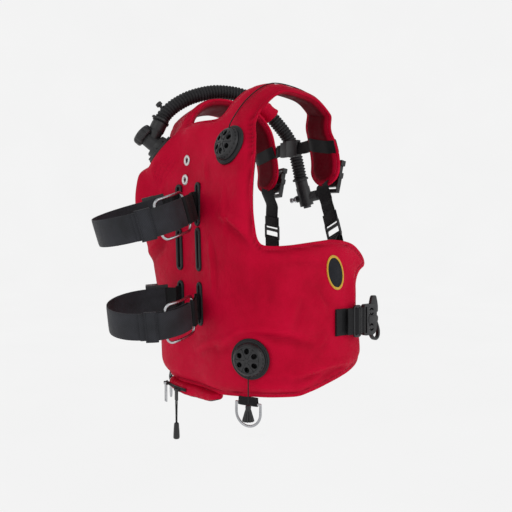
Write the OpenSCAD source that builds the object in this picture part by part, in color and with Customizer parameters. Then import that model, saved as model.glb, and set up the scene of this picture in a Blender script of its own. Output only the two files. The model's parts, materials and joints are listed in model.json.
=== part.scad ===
/* [Jacket] */
// Half width of the outer wall in plan
half_w = 220; // [214:1:226]
// Depth of the outer wall behind the torso axis
back_d = 162; // [158:1:166]
// Depth of the outer wall in front of the torso axis
front_d = 185; // [180:1:190]
// Thickness of the padded jacket wall
wall = 36; // [30:1:36]
// Thickness of a shoulder strap
strap_t = 18; // [14:1:18]
/* [Tank bands] */
// Width of the tank band webbing
web_w = 50; // [46:1:50]
// Thickness of the webbing
web_t = 2.4; // [2:0.1:2.4]
// Radius of the cylinder in the upper band
up_r = 85.5; // [84:0.5:87]
// Radius that the lower band is drawn up to
lo_r = 76; // [75:0.5:77]
// Droop of the upper band in degrees
up_droop = 17.4; // [15:0.2:19]
// Droop of the lower band in degrees
lo_droop = 10; // [8:0.5:11]
// Roll of the lower band in degrees
lo_roll = 8; // [6:0.5:9]
/* [Valves and hose] */
// Outer radius of a valve flange
valve_r = 37; // [36:0.5:37.5]
// Outer radius of the corrugated hose
hose_r = 15.5; // [14:0.5:16]

/* [Hidden] */
$fn = 48;
red = [0.66, 0.03, 0.15];
dark_red = [0.5, 0.02, 0.1];
black = [0.07, 0.07, 0.08];
charcoal = [0.18, 0.19, 0.21];
steel = [0.72, 0.72, 0.7];
n_back = 3.2;
n_front = 2.6;
s_in = 68;      // inner edge of a shoulder strap, measured round the wall from the spine
s_out = 150;    // outer edge of a shoulder strap
slot_x = 36;    // tank band slots either side of the spine
slot_z = [372, 286, 182];

// ---- plan curve of the outer wall, by distance s from the spine (plus s is the wearer's right)
function pw(x, p) = x <= 0 ? 0 : pow(x, p);
function sg(x) = x < 0 ? -1 : 1;
function wth(a) = let (c = cos(a), s = sin(a), b = c >= 0 ? back_d : front_d, n = c >= 0 ? n_back : n_front)
    [-half_w * sg(s) * pw(abs(s), 2 / n), b * sg(c) * pw(abs(c), 2 / n)];
function qa(i) = 170 * pow(i / 170, 2);
arc_tab = [for (i = 0, d = 0; i <= 170; d = d + norm(wth(qa(i + 1)) - wth(qa(i))), i = i + 1) [d, qa(i)]];
function wrap(s) = wth(sg(s) * lookup(abs(s), arc_tab));

// ---- side profile: up the back, over the shoulder and down the front, by distance t from the hem
prof = [[152, -60], [154, 0], [159, 120], [163, 240], [166, 340], [165, 400], [158, 450], [146, 495], [128, 533],
    [103, 566], [72, 591], [36, 605], [2, 606], [-30, 596], [-60, 574], [-84, 541], [-100, 501],
    [-107, 461], [-103, 428], [-94, 402], [-84, 376], [-74, 350]];
function cr(a, b, c, d, u) = 0.5 * (2 * b + (c - a) * u + (2 * a - 5 * b + 4 * c - d) * u * u
    + (3 * b - a - 3 * c + d) * u * u * u);
function fine(l, k) = concat([for (i = [0:len(l) - 2], j = [0:k - 1])
    cr(l[max(i - 1, 0)], l[i], l[i + 1], l[min(i + 2, len(l) - 1)], j / k)], [l[len(l) - 1]]);
pf = fine(prof, 5);
pl = [for (i = 0, d = 0; i < len(pf); d = i + 1 < len(pf) ? d + norm(pf[i + 1] - pf[i]) : d, i = i + 1) d];
py_tab = [for (i = [0:len(pf) - 1]) [pl[i] - pl[5], pf[i][0]]];
pz_tab = [for (i = [0:len(pf) - 1]) [pl[i] - pl[5], pf[i][1]]];
function ease(x) = let (u = max(0, min(1, x))) u * u * (3 - 2 * u);
function depth_f(t) = 1 - 1.15 * ease((t - 470) / 330);
function slope_f(t) = 0.22 * ease((t - 440) / 160) * (1 - ease((t - 760) / 200));
function dip(s, t) = 6 * exp(-pow(s / 50, 2)) * (1 - ease((t - 430) / 80));
function neck(s, t) = 30 * ease((t - 450) / 110) * exp(-pow(s / 62, 2));
// a point on the outer surface, its normal, and a point at height h over it
function flat_f(s, t) = 0.85 * ease((t - 120) / 260) * (1 - ease((abs(s) - 170) / 90));
function turn_f(t) = 0.2 * ease((t - 640) / 100) * (1 - 0.75 * ease((t - 790) / 70));
function wing(s, t) = 32 * ease((-s - 100) / 80) * ease((t - 240) / 160) * (1 - ease((t - 430) / 140)) * (1 - ease((-s - 190) / 90));
function lean(s, t) = 20 * ease((-s - 10) / 50) * ease((t - 600) / 200);
// the right strap stands squarer over the shoulder
function arch(s, t) = 25 * ease((s - 10) / 50) * ease((t - 660) / 65) * (1 - ease((t - 765) / 55));
function rise(s, t) = 5 * ease((s - 10) / 50) * exp(-pow((t - 645) / 40, 2));
// the left shoulder is wider and fuller at its root, under the hose
function broad(s, t) = 22 * ease((-s - 90) / 60) * ease((t - 510) / 40) * (1 - ease((t - 580) / 110));
function full(s, t) = 8 * ease((-s - 10) / 50) * ease((t - 515) / 60) * (1 - ease((t - 610) / 90));
function flare(s, t) = 16 * ease((abs(s) - 395) / 60) * ease((t - 170) / 80);
function P(s, t) = let (w0 = wrap(s), f = flat_f(s, t), w = [mix(w0[0], -s, f), mix(w0[1], back_d, f)]) [
    w[0] - sg(s) * 0.75 * flare(s, t) + broad(s, t),
    lookup(t, py_tab) + depth_f(t) * (w[1] - back_d) - dip(s, t) + neck(s, t) + wing(s, t) + turn_f(t) * (abs(s) - 112)
        - 0.65 * flare(s, t) - lean(s, t) - arch(s, t),
    lookup(t, pz_tab) - slope_f(t) * max(0, abs(s) - s_in) + rise(s, t) + full(s, t)];
function unit(v) = v / norm(v);
function N(s, t) = unit(cross(P(s + 4, t) - P(s - 4, t), P(s, t + 4) - P(s, t - 4)));
function Q(s, t, h) = P(s, t) + h * N(s, t);
function mix(a, b, u) = a + (b - a) * u;

// places children at a point with local z along ez and local x near ex
module pose(p, ez, ex) {
    z = unit(ez);
    y = unit(cross(z, ex));
    x = cross(y, z);
    multmatrix([[x[0], y[0], z[0], p[0]], [x[1], y[1], z[1], p[1]], [x[2], y[2], z[2], p[2]], [0, 0, 0, 1]])
        children();
}
// on the outer wall: local z out, local x toward plus s, local y up
module on_wall(s, t, h = 0) { pose(Q(s, t, h), N(s, t), P(s + 4, t) - P(s - 4, t)) children(); }

// a padded slab over columns sl, between hem heights lo and hi, from height h0 to h1, thinner at its edges
module slab(sl, lo, hi, nt, h0, h1, thin = 0.5, bow = 6) {
    ns = len(sl) - 1;
    m = (ns + 1) * (nt + 1);
    function e(u) = 1 - thin * pow(abs(2 * u - 1), bow);
    pts = [for (k = [0, 1], i = [0:ns], j = [0:nt])
        let (s = sl[i], v = j / nt, t = mix(lookup(s, lo), lookup(s, hi), v), g = e(i / ns) * e(v),
            hm = (h0 + h1) / 2, hh = (h1 - h0) / 2 * g) Q(s, t, k == 0 ? hm - hh : hm + hh)];
    function a(k, i, j) = k * m + i * (nt + 1) + j;
    rim = concat([for (i = [0:ns]) [i, 0]], [for (j = [1:nt]) [ns, j]],
        [for (i = [1:ns]) [ns - i, nt]], [for (j = [1:nt - 1]) [0, nt - j]]);
    r = len(rim);
    polyhedron(points = pts, faces = concat(
        [for (i = [0:ns - 1], j = [0:nt - 1]) [a(1, i, j), a(1, i, j + 1), a(1, i + 1, j + 1)]],
        [for (i = [0:ns - 1], j = [0:nt - 1]) [a(1, i, j), a(1, i + 1, j + 1), a(1, i + 1, j)]],
        [for (i = [0:ns - 1], j = [0:nt - 1]) [a(0, i, j), a(0, i + 1, j + 1), a(0, i, j + 1)]],
        [for (i = [0:ns - 1], j = [0:nt - 1]) [a(0, i, j), a(0, i + 1, j), a(0, i + 1, j + 1)]],
        [for (k = [0:r - 1]) let (p = rim[k], q = rim[(k + 1) % r]) [a(0, p[0], p[1]), a(1, p[0], p[1]), a(1, q[0], q[1])]],
        [for (k = [0:r - 1]) let (p = rim[k], q = rim[(k + 1) % r]) [a(0, p[0], p[1]), a(1, q[0], q[1]), a(0, q[0], q[1])]]));
}
// a round tube of radius r swept along route l with n sides
module sweep(l, r, n) {
    c = len(l) - 1;
    function tan_at(i) = unit(l[min(i + 1, c)] - l[max(i - 1, 0)]);
    function ux(i) = let (t = tan_at(i), q = abs(t[0]) < 0.8 ? [1, 0, 0] : [0, 0, 1]) unit(cross(t, q));
    pts = [for (i = [0:c], k = [0:n - 1]) let (t = tan_at(i), u = ux(i), v = cross(t, u))
        l[i] + r * (cos(360 * k / n) * u + sin(360 * k / n) * v)];
    polyhedron(points = pts, faces = concat(
        [[for (k = [0:n - 1]) k]], [[for (k = [0:n - 1]) c * n + n - 1 - k]],
        [for (i = [0:c - 1], k = [0:n - 1]) [i * n + k, (i + 1) * n + k, (i + 1) * n + (k + 1) % n]],
        [for (i = [0:c - 1], k = [0:n - 1]) [i * n + k, (i + 1) * n + (k + 1) % n, i * n + (k + 1) % n]]));
}
// outline of a ribbon of thickness th along the flat path l
function side(l, i, d) = let (c = len(l) - 1, t = unit(l[min(i + 1, c)] - l[max(i - 1, 0)])) l[i] + d * [-t[1], t[0]];
module ribbon(l, th, w) {
    c = len(l) - 1;
    linear_extrude(w, center = true) polygon(concat([for (i = [0:c]) side(l, i, th / 2)],
        [for (i = [0:c]) side(l, c - i, -th / 2)]));
}
module pill(l, w, h) {
    linear_extrude(h) union() {
        square([w, l - w], center = true);
        for (k = [-1, 1]) translate([0, k * (l - w) / 2]) circle(d = w);
    }
}
module rbar(a, b, r) { pose(a, b - a, abs((b - a)[2]) > norm(b - a) * 0.9 ? [1, 0, 0] : [0, 0, 1]) cylinder(r = r, h = norm(b - a)); }
// closed wire loop in the local x-y plane: centre-line size lx by ly, corner radius c, wire radius r
module wire_loop(lx, ly, c, r) {
    for (k = [-1, 1]) {
        translate([k * lx / 2, -(ly / 2 - c), 0]) rotate([-90, 0, 0]) cylinder(r = r, h = ly - 2 * c);
        translate([-(lx / 2 - c), k * ly / 2, 0]) rotate([0, 90, 0]) cylinder(r = r, h = lx - 2 * c);
    }
    for (q = [[1, 1, 0], [-1, 1, 90], [-1, -1, 180], [1, -1, 270]])
        translate([q[0] * (lx / 2 - c), q[1] * (ly / 2 - c), 0]) rotate([0, 0, q[2]])
            rotate_extrude(angle = 90) translate([c, 0]) circle(r = r, $fn = 24);
}

// ---- placing
hem = [[-436, 70], [-420, 62], [-386, 52], [-346, 42], [-308, 32], [-262, 22], [-224, 21], [-168, 20], [-80, 12], [80, 12],
    [168, 20], [224, 21], [262, 22], [308, 32], [346, 42], [386, 52], [420, 62], [436, 70]];
back_top = [[-215, 290], [-208, 292], [-201, 304], [-194, 420], [-188, 470], [-150, 545], [150, 545], [188, 470],
    [194, 420], [201, 304], [208, 292], [215, 290]];
lobe_top = [[-436, 262], [-414, 292], [-380, 301], [-348, 304], [-274, 296], [-215, 290], [215, 290], [274, 296], [348, 304],
    [380, 301], [414, 292], [436, 262]];
t_end = 944;
strap_lo = [[-200, 545.5], [200, 545.5]];
strap_hi = [[-s_out, t_end - 30], [-138, t_end - 8], [-112, t_end], [-86, t_end - 8], [-s_in, t_end - 30],
    [s_in, t_end - 30], [86, t_end - 8], [112, t_end], [138, t_end - 8], [s_out, t_end - 30]];
valves = [[170, 92], [126, 478]];      // lower and shoulder valve, as s and t
elbow_st = [-133, 499];
up_y = P(slot_x, slot_z[0])[1];
lo_y = P(slot_x, slot_z[2])[1];
up_d = up_r + 19;
lo_d = lo_r + 14;
up_c = [0, up_y + up_d * cos(up_droop), slot_z[0] - up_d * sin(up_droop)];
lo_c = [0, lo_y + lo_d * cos(lo_droop), slot_z[2] - lo_d * sin(lo_droop)];
module upper() { translate(up_c) rotate([-up_droop, 0, 0]) children(); }
module lower() { translate(lo_c) rotate([-lo_droop, 0, 0]) rotate([0, -lo_roll, 0]) children(); }
// tank band lines in the band's own plane: the vest is at y = -d, the slots at x = -/+ slot_x
function tl(r, d) = let (l = norm([slot_x, d])) [sqrt(l * l - r * r), atan2(d, slot_x) - acos(r / l)];
// point a along the straight stretch from the slot, q outside the band's inner face, on side k (-1 right, 1 left)
function on_line(r, d, k, a, q) = let (b = tl(r, d)[1], o = [k * cos(b), -sin(b)], e = [k * sin(b), cos(b)])
    r * o + (a - tl(r, d)[0]) * e + q * o;
function polar(r, a) = [r * cos(a), r * sin(a)];

module bore_valves() {
    for (v = valves) on_wall(v[0], v[1]) {
        translate([0, 0, -3.2]) cylinder(r = valve_r + 0.6, h = 30);
        translate([0, 0, -80]) cylinder(r = 26.4, h = 90);
    }
    at_elbow() {
        translate([0, 0, -3.2]) cylinder(r = 35, h = 30);
        translate([0, 0, -80]) cylinder(r = 16.4, h = 90);
    }
}
gr_t = [461, 422];
gr_x = 20;      // grommets sit a little left of the spine
module jacket_back() {
    color(red) difference() {
        slab([-215, -208, -201, -194, -188, -170, -150, -125, -100, -75, -50, -25, 0, 25, 50, 75, 100, 125, 150,
            170, 188, 194, 201, 208, 215], hem, back_top, 14, -wall, 0, 0.5, 8);
        bore_valves();
        for (z = slot_z, k = [-1, 1]) translate([k * slot_x - 5, 60, z - 37]) cube([10, 160, 74]);
        for (t = gr_t) translate([gr_x, P(-gr_x, t)[1], P(-gr_x, t)[2]]) rotate([-90, 0, 0]) {
            translate([0, 0, -90]) cylinder(r = 5.9, h = 120);
            translate([0, 0, -4]) cylinder(r = 8.4, h = 30);
        }
    }
}
lobe_cols = [215.5, 240, 264, 288, 312, 336, 360, 384, 404, 422, 436];
module right_lobe() { color(red) slab(lobe_cols, hem, lobe_top, 8, -wall, 0, 0.5, 8); }
module left_lobe() { color(red) slab([for (i = [0:10]) -lobe_cols[10 - i]], hem, lobe_top, 8, -wall, 0, 0.5, 8); }
strap_cols = [s_in, 75, 89, 109, 130, 143, s_out];
module right_shoulder_strap() { color(red) slab(strap_cols, strap_lo, strap_hi, 30, -strap_t, 0, 0.45, 6); }
module left_shoulder_strap() {
    color(red) slab([for (i = [0:6]) -strap_cols[6 - i]], strap_lo, strap_hi, 30, -strap_t, 0, 0.45, 6);
}
module back_pad() {
    color(black) translate([0, 103.3, 268]) rotate([90, 0, 0]) translate([0, 0, -7]) linear_extrude(14) union() {
        square([210, 360], center = true);
        square([180, 400], center = true);
    }
}
module back_plate() {
    color(black) difference() {
        translate([-100, 111, 140]) cube([200, 5, 300]);
        for (t = gr_t) translate([gr_x, 100, P(-gr_x, t)[2]]) rotate([-90, 0, 0]) cylinder(r = 5.9, h = 30);
    }
}
module lumbar_pouch() {
    color(red) slab([-125, -110, -85, -55, -25, 5, 35, 55, 68], [[-125, 2], [-85, -8], [-25, -10], [40, -6], [68, 2]],
        [[-130, 15], [-80, 11.4], [80, 11.4]], 3, -wall + 4, -4, 0.4, 4);
}
module slot_trims() {
    color(charcoal) for (z = slot_z, k = [-1, 1]) on_wall(k * slot_x, z, 0.5) difference() {
        pill(84, 21, 3);
        translate([0, 0, -1]) pill(74, 10, 5);
    }
}
module grommets() {
    color(steel) for (t = gr_t) translate([gr_x, P(-gr_x, t)[1], P(-gr_x, t)[2]]) rotate([-90, 0, 0]) difference() {
        union() {
            translate([0, 0, -28]) cylinder(r = 5.5, h = 29);
            translate([0, 0, -1.2]) cylinder(r = 7.5, h = 2.6);
        }
        translate([0, 0, -40]) cylinder(r = 4, h = 60);
    }
}
module oval_patch() {
    color(black) on_wall(348, 244, 1.2) rotate([0, 0, 14]) linear_extrude(1.4)
        polygon([for (a = [0:10:350]) [20 * cos(a), 32 * sin(a)]]);
}

// ---- tank bands
// straight out of the slot first, so that it clears the trim, then along the band's line
module anchor(r, d, k, y1) {
    q = on_line(r, d, k, ring_a(r), 5.3);
    y2 = 12.8;
    if (k < 0) difference() {
        union() {
            linear_extrude(web_w, center = true) polygon([[-slot_x + 2.4, y1 - d], [-slot_x + 2.4, y2 + 1.2 - d],
                on_line(r, d, k, 28, 0.6), on_line(r, d, k, ring_a(r), 1.5), on_line(r, d, k, ring_a(r), 9.1),
                on_line(r, d, k, 24, 5.6), [-slot_x - 2.4, y2 - d], [-slot_x - 2.4, y1 - d]]);
            translate(q) cylinder(r = 5.2, h = web_w, center = true);
        }
        translate(q) cylinder(r = 2.8, h = web_w + 2, center = true);
    }
    else linear_extrude(web_w, center = true) polygon([[slot_x - 2.4, y1 - d], [slot_x - 2.4, y2 + 1.2 - d], on_line(r, d, k, 26, 0),
        on_line(r, d, k, 29.6, 0), on_line(r, d, k, 29.6, web_t), on_line(r, d, k, 24, web_t), [slot_x + 2.4, y2 - d], [slot_x + 2.4, y1 - d]]);
}
module band_anchors() {
    color(charcoal) {
        upper() for (k = [-1, 1]) anchor(up_r, up_d, k, 2);
        lower() for (k = [-1, 1]) anchor(lo_r, lo_d, k, 9.4);
        for (k = [-1, 1]) {
            translate([k * slot_x - 2.4, 116.4, slot_z[0] - 27]) cube([4.8, up_y - 116.4 + 6.5, 50]);
            translate([k * slot_x - 2.4, 116.4, slot_z[2] - 25 + k * slot_x * sin(lo_roll)]) cube([4.8, lo_y - 116.4 + 13.6, 50]);
        }
    }
}
// ring's front bar from the slot along the band, and where the band folds back inside the ring
function ring_a(r) = r > 78 ? 60 : 40;
function fold_a(r) = ring_a(r) + 17;
ring_l = 72;    // centre-line length of the ring along the band
// the ring is bent to the loop's round, so that its sides pass beside the webbing and stay clear of the cylinder
function ring_p(r, d) = on_line(r, d, -1, ring_a(r), 5.3);
function ring_b(r, d) = let (p = ring_p(r, d), n = norm(p), q = r + 5.3) 360 + atan2(p[1], p[0]) - acos((n * n + q * q - ring_l * ring_l) / (2 * n * q));
module ring_at(r, d) {
    l = tl(r, d);
    p = ring_p(r, d);
    q = polar(r + 5.3, ring_b(r, d));
    side = concat([for (k = [0:2]) on_line(r, d, -1, mix(ring_a(r), l[0], k / 3), 5.3)],
        [for (k = [0:14]) polar(r + 5.3, mix(180 + l[1], ring_b(r, d), k / 14))]);
    color(steel) union() {
        for (k = [-1, 1]) translate([0, 0, k * 36]) ribbon(side, 4.6, 4.6);
        for (c = [p, q]) translate([c[0], c[1], 0]) cylinder(r = 2.5, h = 75.4, center = true);
    }
}
module upper_band_ring() { upper() ring_at(up_r, up_d); }
module lower_band_ring() { lower() ring_at(lo_r, lo_d); }
// the folded tail: round over the ring's far bar, then down onto the loop; u runs from past the bar to the tail's end
function tail_ta(r, d) = ring_b(r, d) - 4;
function tail_end(r) = r > 78 ? 144 : 138;
function tail_pt(r, d, u, o) = polar(r + 4 + o + 5.3 * (1 - ease(u * 1.25)), mix(tail_ta(r, d), tail_end(r), u));
// main loop: true round inside, folded back over the ring on the near side
module band_loop(r, d) {
    l = tl(r, d);
    a0 = 180 + l[1];
    a1 = -l[1];
    fold = [for (k = [0:6]) let (a = 180 * k / 6) on_line(r, d, -1, fold_a(r) - 4.05 * sin(a), 5.25 - 4.05 * cos(a))];
    tail = concat([for (k = [1:6]) polar(r + 9.3, mix(a0 - (max(0, fold_a(r) - l[0]) + 9) / r * 57.3, tail_ta(r, d), k / 6))],
        [for (k = [1:10]) tail_pt(r, d, k / 10, 0)]);
    if (r > 78) color(charcoal) union() {
        difference() {
            cylinder(r = r + web_t, h = web_w, center = true, $fn = 120);
            cylinder(r = r, h = web_w + 2, center = true, $fn = 120);
            linear_extrude(web_w + 4, center = true) polygon([[0, 0], polar(400, a0), [-400, -500], [400, -500], polar(400, a1)]);
        }
        linear_extrude(web_w, center = true) polygon([on_line(r, d, -1, fold_a(r), 0), on_line(r, d, -1, l[0] + 0.02, 0),
            on_line(r, d, -1, l[0] + 0.02, web_t), on_line(r, d, -1, fold_a(r), web_t)]);
        linear_extrude(web_w, center = true) polygon([on_line(r, d, 1, 30, 0), on_line(r, d, 1, l[0] + 0.02, 0),
            on_line(r, d, 1, l[0] + 0.02, web_t), on_line(r, d, 1, 30, web_t)]);
        ribbon(concat(fold, tail), web_t, web_w);
    }
    // a tight loop is one ribbon from its cam buckle round to its tail
    else color(charcoal) ribbon(concat([for (a = [30, 45]) on_line(r, d, 1, a, web_t / 2)],
        [for (k = [0:60]) polar(r + web_t / 2, mix(a1, a0, k / 60))], fold, tail), web_t, web_w);
}
module upper_band_strap() { upper() band_loop(up_r, up_d); }
module lower_band_strap() { lower() band_loop(lo_r, lo_d); }
module keeper(r, d, u0, u1) { ribbon([for (k = [0:6]) tail_pt(r, d, mix(u0, u1, k / 6), 3.7)], 1.8, web_w + 6); }
module band_keepers() {
    color(charcoal) {
        upper() keeper(up_r, up_d, 0.12, 0.82);
        lower() keeper(lo_r, lo_d, 0.25, 0.76);
    }
}
cam_a = 56;
cam_q = 12;
module cam_frame(r, d) {
    b = tl(r, d)[1];
    o = on_line(r, d, 1, 0, 0);
    pose([o[0], o[1], 0], [cos(b), -sin(b), 0], [sin(b), cos(b), 0]) difference() {
        union() {
            translate([24, -30.5, 2.8]) cube([44, 61, 3]);
            for (k = [-1, 1]) translate([44, k * 29 - 1.5, 2.8]) cube([24, 3, 14.5]);
        }
        translate([cam_a, 40, cam_q]) rotate([90, 0, 0]) cylinder(r = 2.1, h = 80);
    }
}
module cam_pin(r, d) {
    p = on_line(r, d, 1, cam_a, cam_q);
    translate(p) cylinder(r = 2, h = 61, center = true);
}
module cam_lever(r, d) {
    b = tl(r, d)[1];
    o = on_line(r, d, 1, 0, 0);
    pose([o[0], o[1], 0], [cos(b), -sin(b), 0], [sin(b), cos(b), 0]) difference() {
        union() {
            translate([cam_a, 26.5, cam_q]) rotate([90, 0, 0]) cylinder(r = 5.6, h = 53);
            translate([30, -26.5, 10.5]) cube([26, 53, 3.5]);
            translate([30, -26.5, 10.5]) cube([3.5, 53, 5]);
        }
        translate([cam_a, 40, cam_q]) rotate([90, 0, 0]) cylinder(r = 2.3, h = 80);
    }
}
module cam_frames() { color(black) { upper() cam_frame(up_r, up_d); lower() cam_frame(lo_r, lo_d); } }
module cam_pins() { color(steel) { upper() cam_pin(up_r, up_d); lower() cam_pin(lo_r, lo_d); } }
module upper_cam_lever() { color(black) upper() cam_lever(up_r, up_d); }
module lower_cam_lever() { color(black) lower() cam_lever(lo_r, lo_d); }

// ---- hip rings
function hip_s(k) = k > 0 ? 152 : -164;
module hip(k) {
    n = N(hip_s(k), 22);
    pose(Q(hip_s(k), 22, -18), [n[0], n[1], 0], P(hip_s(k) + 4, 22) - P(hip_s(k) - 4, 22)) children();
}
module hip_tabs() {
    color(black) for (k = [-1, 1]) hip(k) difference() {
        union() {
            translate([-21, -16, -1.2]) cube([42, 9.6, 2.4]);
            translate([-21, -16, 0]) rotate([0, 90, 0]) cylinder(r = 4.6, h = 42);
        }
        translate([-25, -16, 0]) rotate([0, 90, 0]) cylinder(r = 2.9, h = 60);
    }
}
module hip_ring(k) {
    color(steel) hip(k) translate([0, -16, 0]) {
        translate([-26, 0, 0]) rotate([0, 90, 0]) cylinder(r = 2.5, h = 52);
        for (j = [-1, 1]) {
            translate([j * 26, 0, 0]) sphere(r = 2.5);
            translate([j * 26, -16, 0]) rotate([-90, 0, 0]) cylinder(r = 2.5, h = 16);
        }
        translate([0, -16, 0]) rotate([0, 0, 180]) rotate_extrude(angle = 180) translate([26, 0]) circle(r = 2.5, $fn = 24);
    }
}
module right_hip_ring() { hip_ring(1); }
module left_hip_ring() { hip_ring(-1); }

// ---- valves
module each_valve() { for (v = valves) on_wall(v[0], v[1]) children(); }
module valve_gaskets() {
    color(charcoal) each_valve() rotate_extrude() polygon([[26.3, -2.6], [valve_r - 1, -2.6], [valve_r, -1], [valve_r, 2.2],
        [valve_r - 3, 3.6], [26.3, 3.6]]);
}
module valve_housings() {
    color(black) each_valve() difference() {
        rotate_extrude() polygon([[0, -27], [26, -27], [26, 4], [30, 4], [30, 6], [22, 6], [22, -24], [0, -24]]);
        for (a = [0:60:300]) rotate([0, 0, a]) translate([14, 0, -30]) cylinder(r = 4, h = 10);
    }
}
module valve_caps() {
    color(black) each_valve() difference() {
        rotate_extrude() polygon([[0, 18.5], [10, 18], [20, 16], [26, 13], [30, 9], [31, 6.3], [28.6, 6.3], [27.6, 8.6], [24.4, 11.2],
            [19, 13.6], [9.6, 15.4], [0, 15.9]]);
        for (a = [0:60:300]) rotate([0, 0, a + 30]) translate([18.5, 0, 5]) cylinder(r = 4.6, h = 20);
        for (k = [-1, 1]) translate([0, k * 22, 9.2]) rotate([-90 * k, 0, 0]) cylinder(r = 2.7, h = 20);
    }
}
module poppet() {
    rotate_extrude() polygon([[0, -9], [20, -9], [21.4, -7.5], [21.4, -6], [4, -5], [3, -4], [3, 2], [0, 2]]);
}
module lower_poppet() { color(charcoal) on_wall(valves[0][0], valves[0][1]) poppet(); }
module shoulder_poppet() { color(charcoal) on_wall(valves[1][0], valves[1][1]) poppet(); }
module coil() {
    sweep([for (i = [0:60]) let (a = 1800 * i / 60) [11 * cos(a), 11 * sin(a), -22.6 + 12.2 * i / 60]], 0.9, 6);
}
module lower_spring() { color(steel) on_wall(valves[0][0], valves[0][1]) coil(); }
module shoulder_spring() { color(steel) on_wall(valves[1][0], valves[1][1]) coil(); }
lv = Q(valves[0][0], valves[0][1], 9);
module lower_pull_cord() {
    color(black) sweep([for (i = [0:12]) [lv[0], lv[1], lv[2] - 14 - 66 * i / 12]], 1.1, 8);
}
module knob() {
    rotate_extrude() polygon([[0, 1], [4.5, 1], [6, -1], [6.2, -5], [7.4, -5.4], [7.6, -9], [8.8, -9.4], [9, -13], [10.2, -13.4],
        [10.4, -17], [11.4, -17.4], [11.4, -24], [10, -27], [0, -28]]);
}
module lower_pull_knob() { color(black) translate([lv[0], lv[1], lv[2] - 81.4]) knob(); }
// shoulder valve cord: out of the cap, up over the strap and down to a knob on the chest
sv_a = Q(126, 478, 10);
sp_end = Q(85, 872, 8);
function sp_s(t) = 126 - 17 * ease((t - 512) / 50) + 4 * ease((t - 570) / 90) - 28 * ease((t - 680) / 170);
sv_u = unit(P(126, 486) - P(126, 478));
sp_route = concat([sv_a + 24 * sv_u, sv_a + 38 * sv_u], [for (t = [554:24:842]) Q(sp_s(t), t, 3.2 + 1.4 * ease((t - 770) / 50))],
    [sp_end + [0, 0, 14], sp_end]);
module shoulder_pull_cord() { color(black) sweep(sp_route, 1.1, 8); }
module shoulder_pull_knob() { color(black) translate(sp_end + [0, 0, -1.4]) scale(0.55) knob(); }

// ---- elbow, hose and inflator
hose_pts = [[137, 150, 550], [135.5, 138, 569], [131.5, 115, 590], [125, 79, 610.5], [116, 27, 625.5], [106, -29, 625.5],
    [99, -61, 615], [93, -93, 595.3], [89, -124, 568.6], [87, -151.5, 541.2], [87, -172, 511.8], [87.5, -184, 477.8],
    [88, -194, 442]];
el_p = Q(elbow_st[0], elbow_st[1], 0);
el_n = unit([0.4, 0.66, 0.64]);
el_m = el_p + 27 * el_n;
el_out = hose_pts[0] - el_m;
module at_elbow() { pose(el_p, el_n, [-1, 0, 0]) children(); }
module elbow_flange() {
    color(black) at_elbow() rotate_extrude() polygon([[16.6, -2.6], [34.5, -2.6], [34.5, 2], [31, 3],
        [25, 3.6], [25, 14], [24, 15], [16.6, 15]]);
}
module elbow_body() {
    color(black) difference() {
        union() {
            at_elbow() translate([0, 0, -26]) cylinder(r = 16, h = 71);
            pose(el_m, el_out, [1, 0, 0]) cylinder(r = 11, h = norm(el_out) - 0.1);
            pose(el_m, el_out, [1, 0, 0]) translate([0, 0, norm(el_out) - 9.1]) cylinder(r = 14.4, h = 9);
        }
        at_elbow() translate([0, 0, -30]) cylinder(r = 11, h = 66);
    }
}
module elbow_cap() {
    color(black) at_elbow() difference() {
        translate([0, 0, 45.2]) union() {
            cylinder(r = 23, h = 11);
            translate([0, 0, 11]) cylinder(r = 18.5, h = 2.5);
        }
        for (a = [0:30:330]) rotate([0, 0, a]) translate([23.8, 0, 43]) cylinder(r = 2, h = 20, $fn = 24);
    }
}
hose_fine = fine(hose_pts, 3);
module inflator_hose() { color(black) sweep(hose_fine, hose_r, 12); }
// cloth sleeve that holds the hose on the left shoulder, sewn down by a short leg
module hose_flap() {
    p = hose_fine[22];
    color(red) difference() {
        union() {
            sweep([for (i = [19:24]) hose_fine[i]], hose_r + 3, 16);
            pose(p, -N(-87, 768), hose_fine[24] - hose_fine[20]) translate([-17, -1.2, hose_r]) cube([34, 2.4, 12]);
        }
        sweep([for (i = [17:26]) hose_fine[i]], hose_r + 0.9, 16);
    }
}
module tie(p, d, z) {
    pose(p, d, [0, 1, 0]) translate([0, 0, z]) difference() {
        union() { cylinder(r = hose_r + 2.6, h = 4.4); translate([0, -4, 0]) cube([hose_r + 6, 8, 4.4]); }
        translate([0, 0, -1]) cylinder(r = hose_r + 0.5, h = 8);
    }
}
module hose_ties() {
    color(black) {
        tie(hose_pts[0], hose_fine[1] - hose_fine[0], 1);
        tie(hose_pts[12], hose_pts[12] - hose_fine[35], -5.4);
    }
}
in_d = unit([-6, -14, -58]);
in_m = unit([-0.72, -0.66, 0.24]);
module inflator() { pose(hose_pts[12] + 0.2 * in_d, in_d, in_m) children(); }
module inflator_body() {
    color(black) inflator() difference() {
        union() {
            cylinder(r = 14.4, h = 16);
            translate([0, 0, 16]) cylinder(r = 16, h = 44);
            translate([0, 0, 42]) rotate([0, 90, 0]) cylinder(r = 12, h = 27);
            translate([0, 0, 28]) rotate([90, 0, 0]) cylinder(r = 10.5, h = 22);
            translate([0, 0, 40]) rotate([0, -90, 0]) cylinder(r = 8, h = 21);
        }
        translate([0, 0, 50]) cylinder(r = 9.3, h = 20);
        translate([0, -13, 28]) rotate([90, 0, 0]) cylinder(r = 7.3, h = 20);
        translate([16, 0, 42]) rotate([0, 90, 0]) cylinder(r = 9, h = 20);
    }
}
module inflate_button() { color([0.25, 0.25, 0.27]) inflator() translate([0, -18.5, 28]) rotate([90, 0, 0]) cylinder(r = 7, h = 8); }
module deflate_button() { color([0.25, 0.25, 0.27]) inflator() translate([0, 0, 56]) cylinder(r = 9, h = 9.5); }
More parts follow.
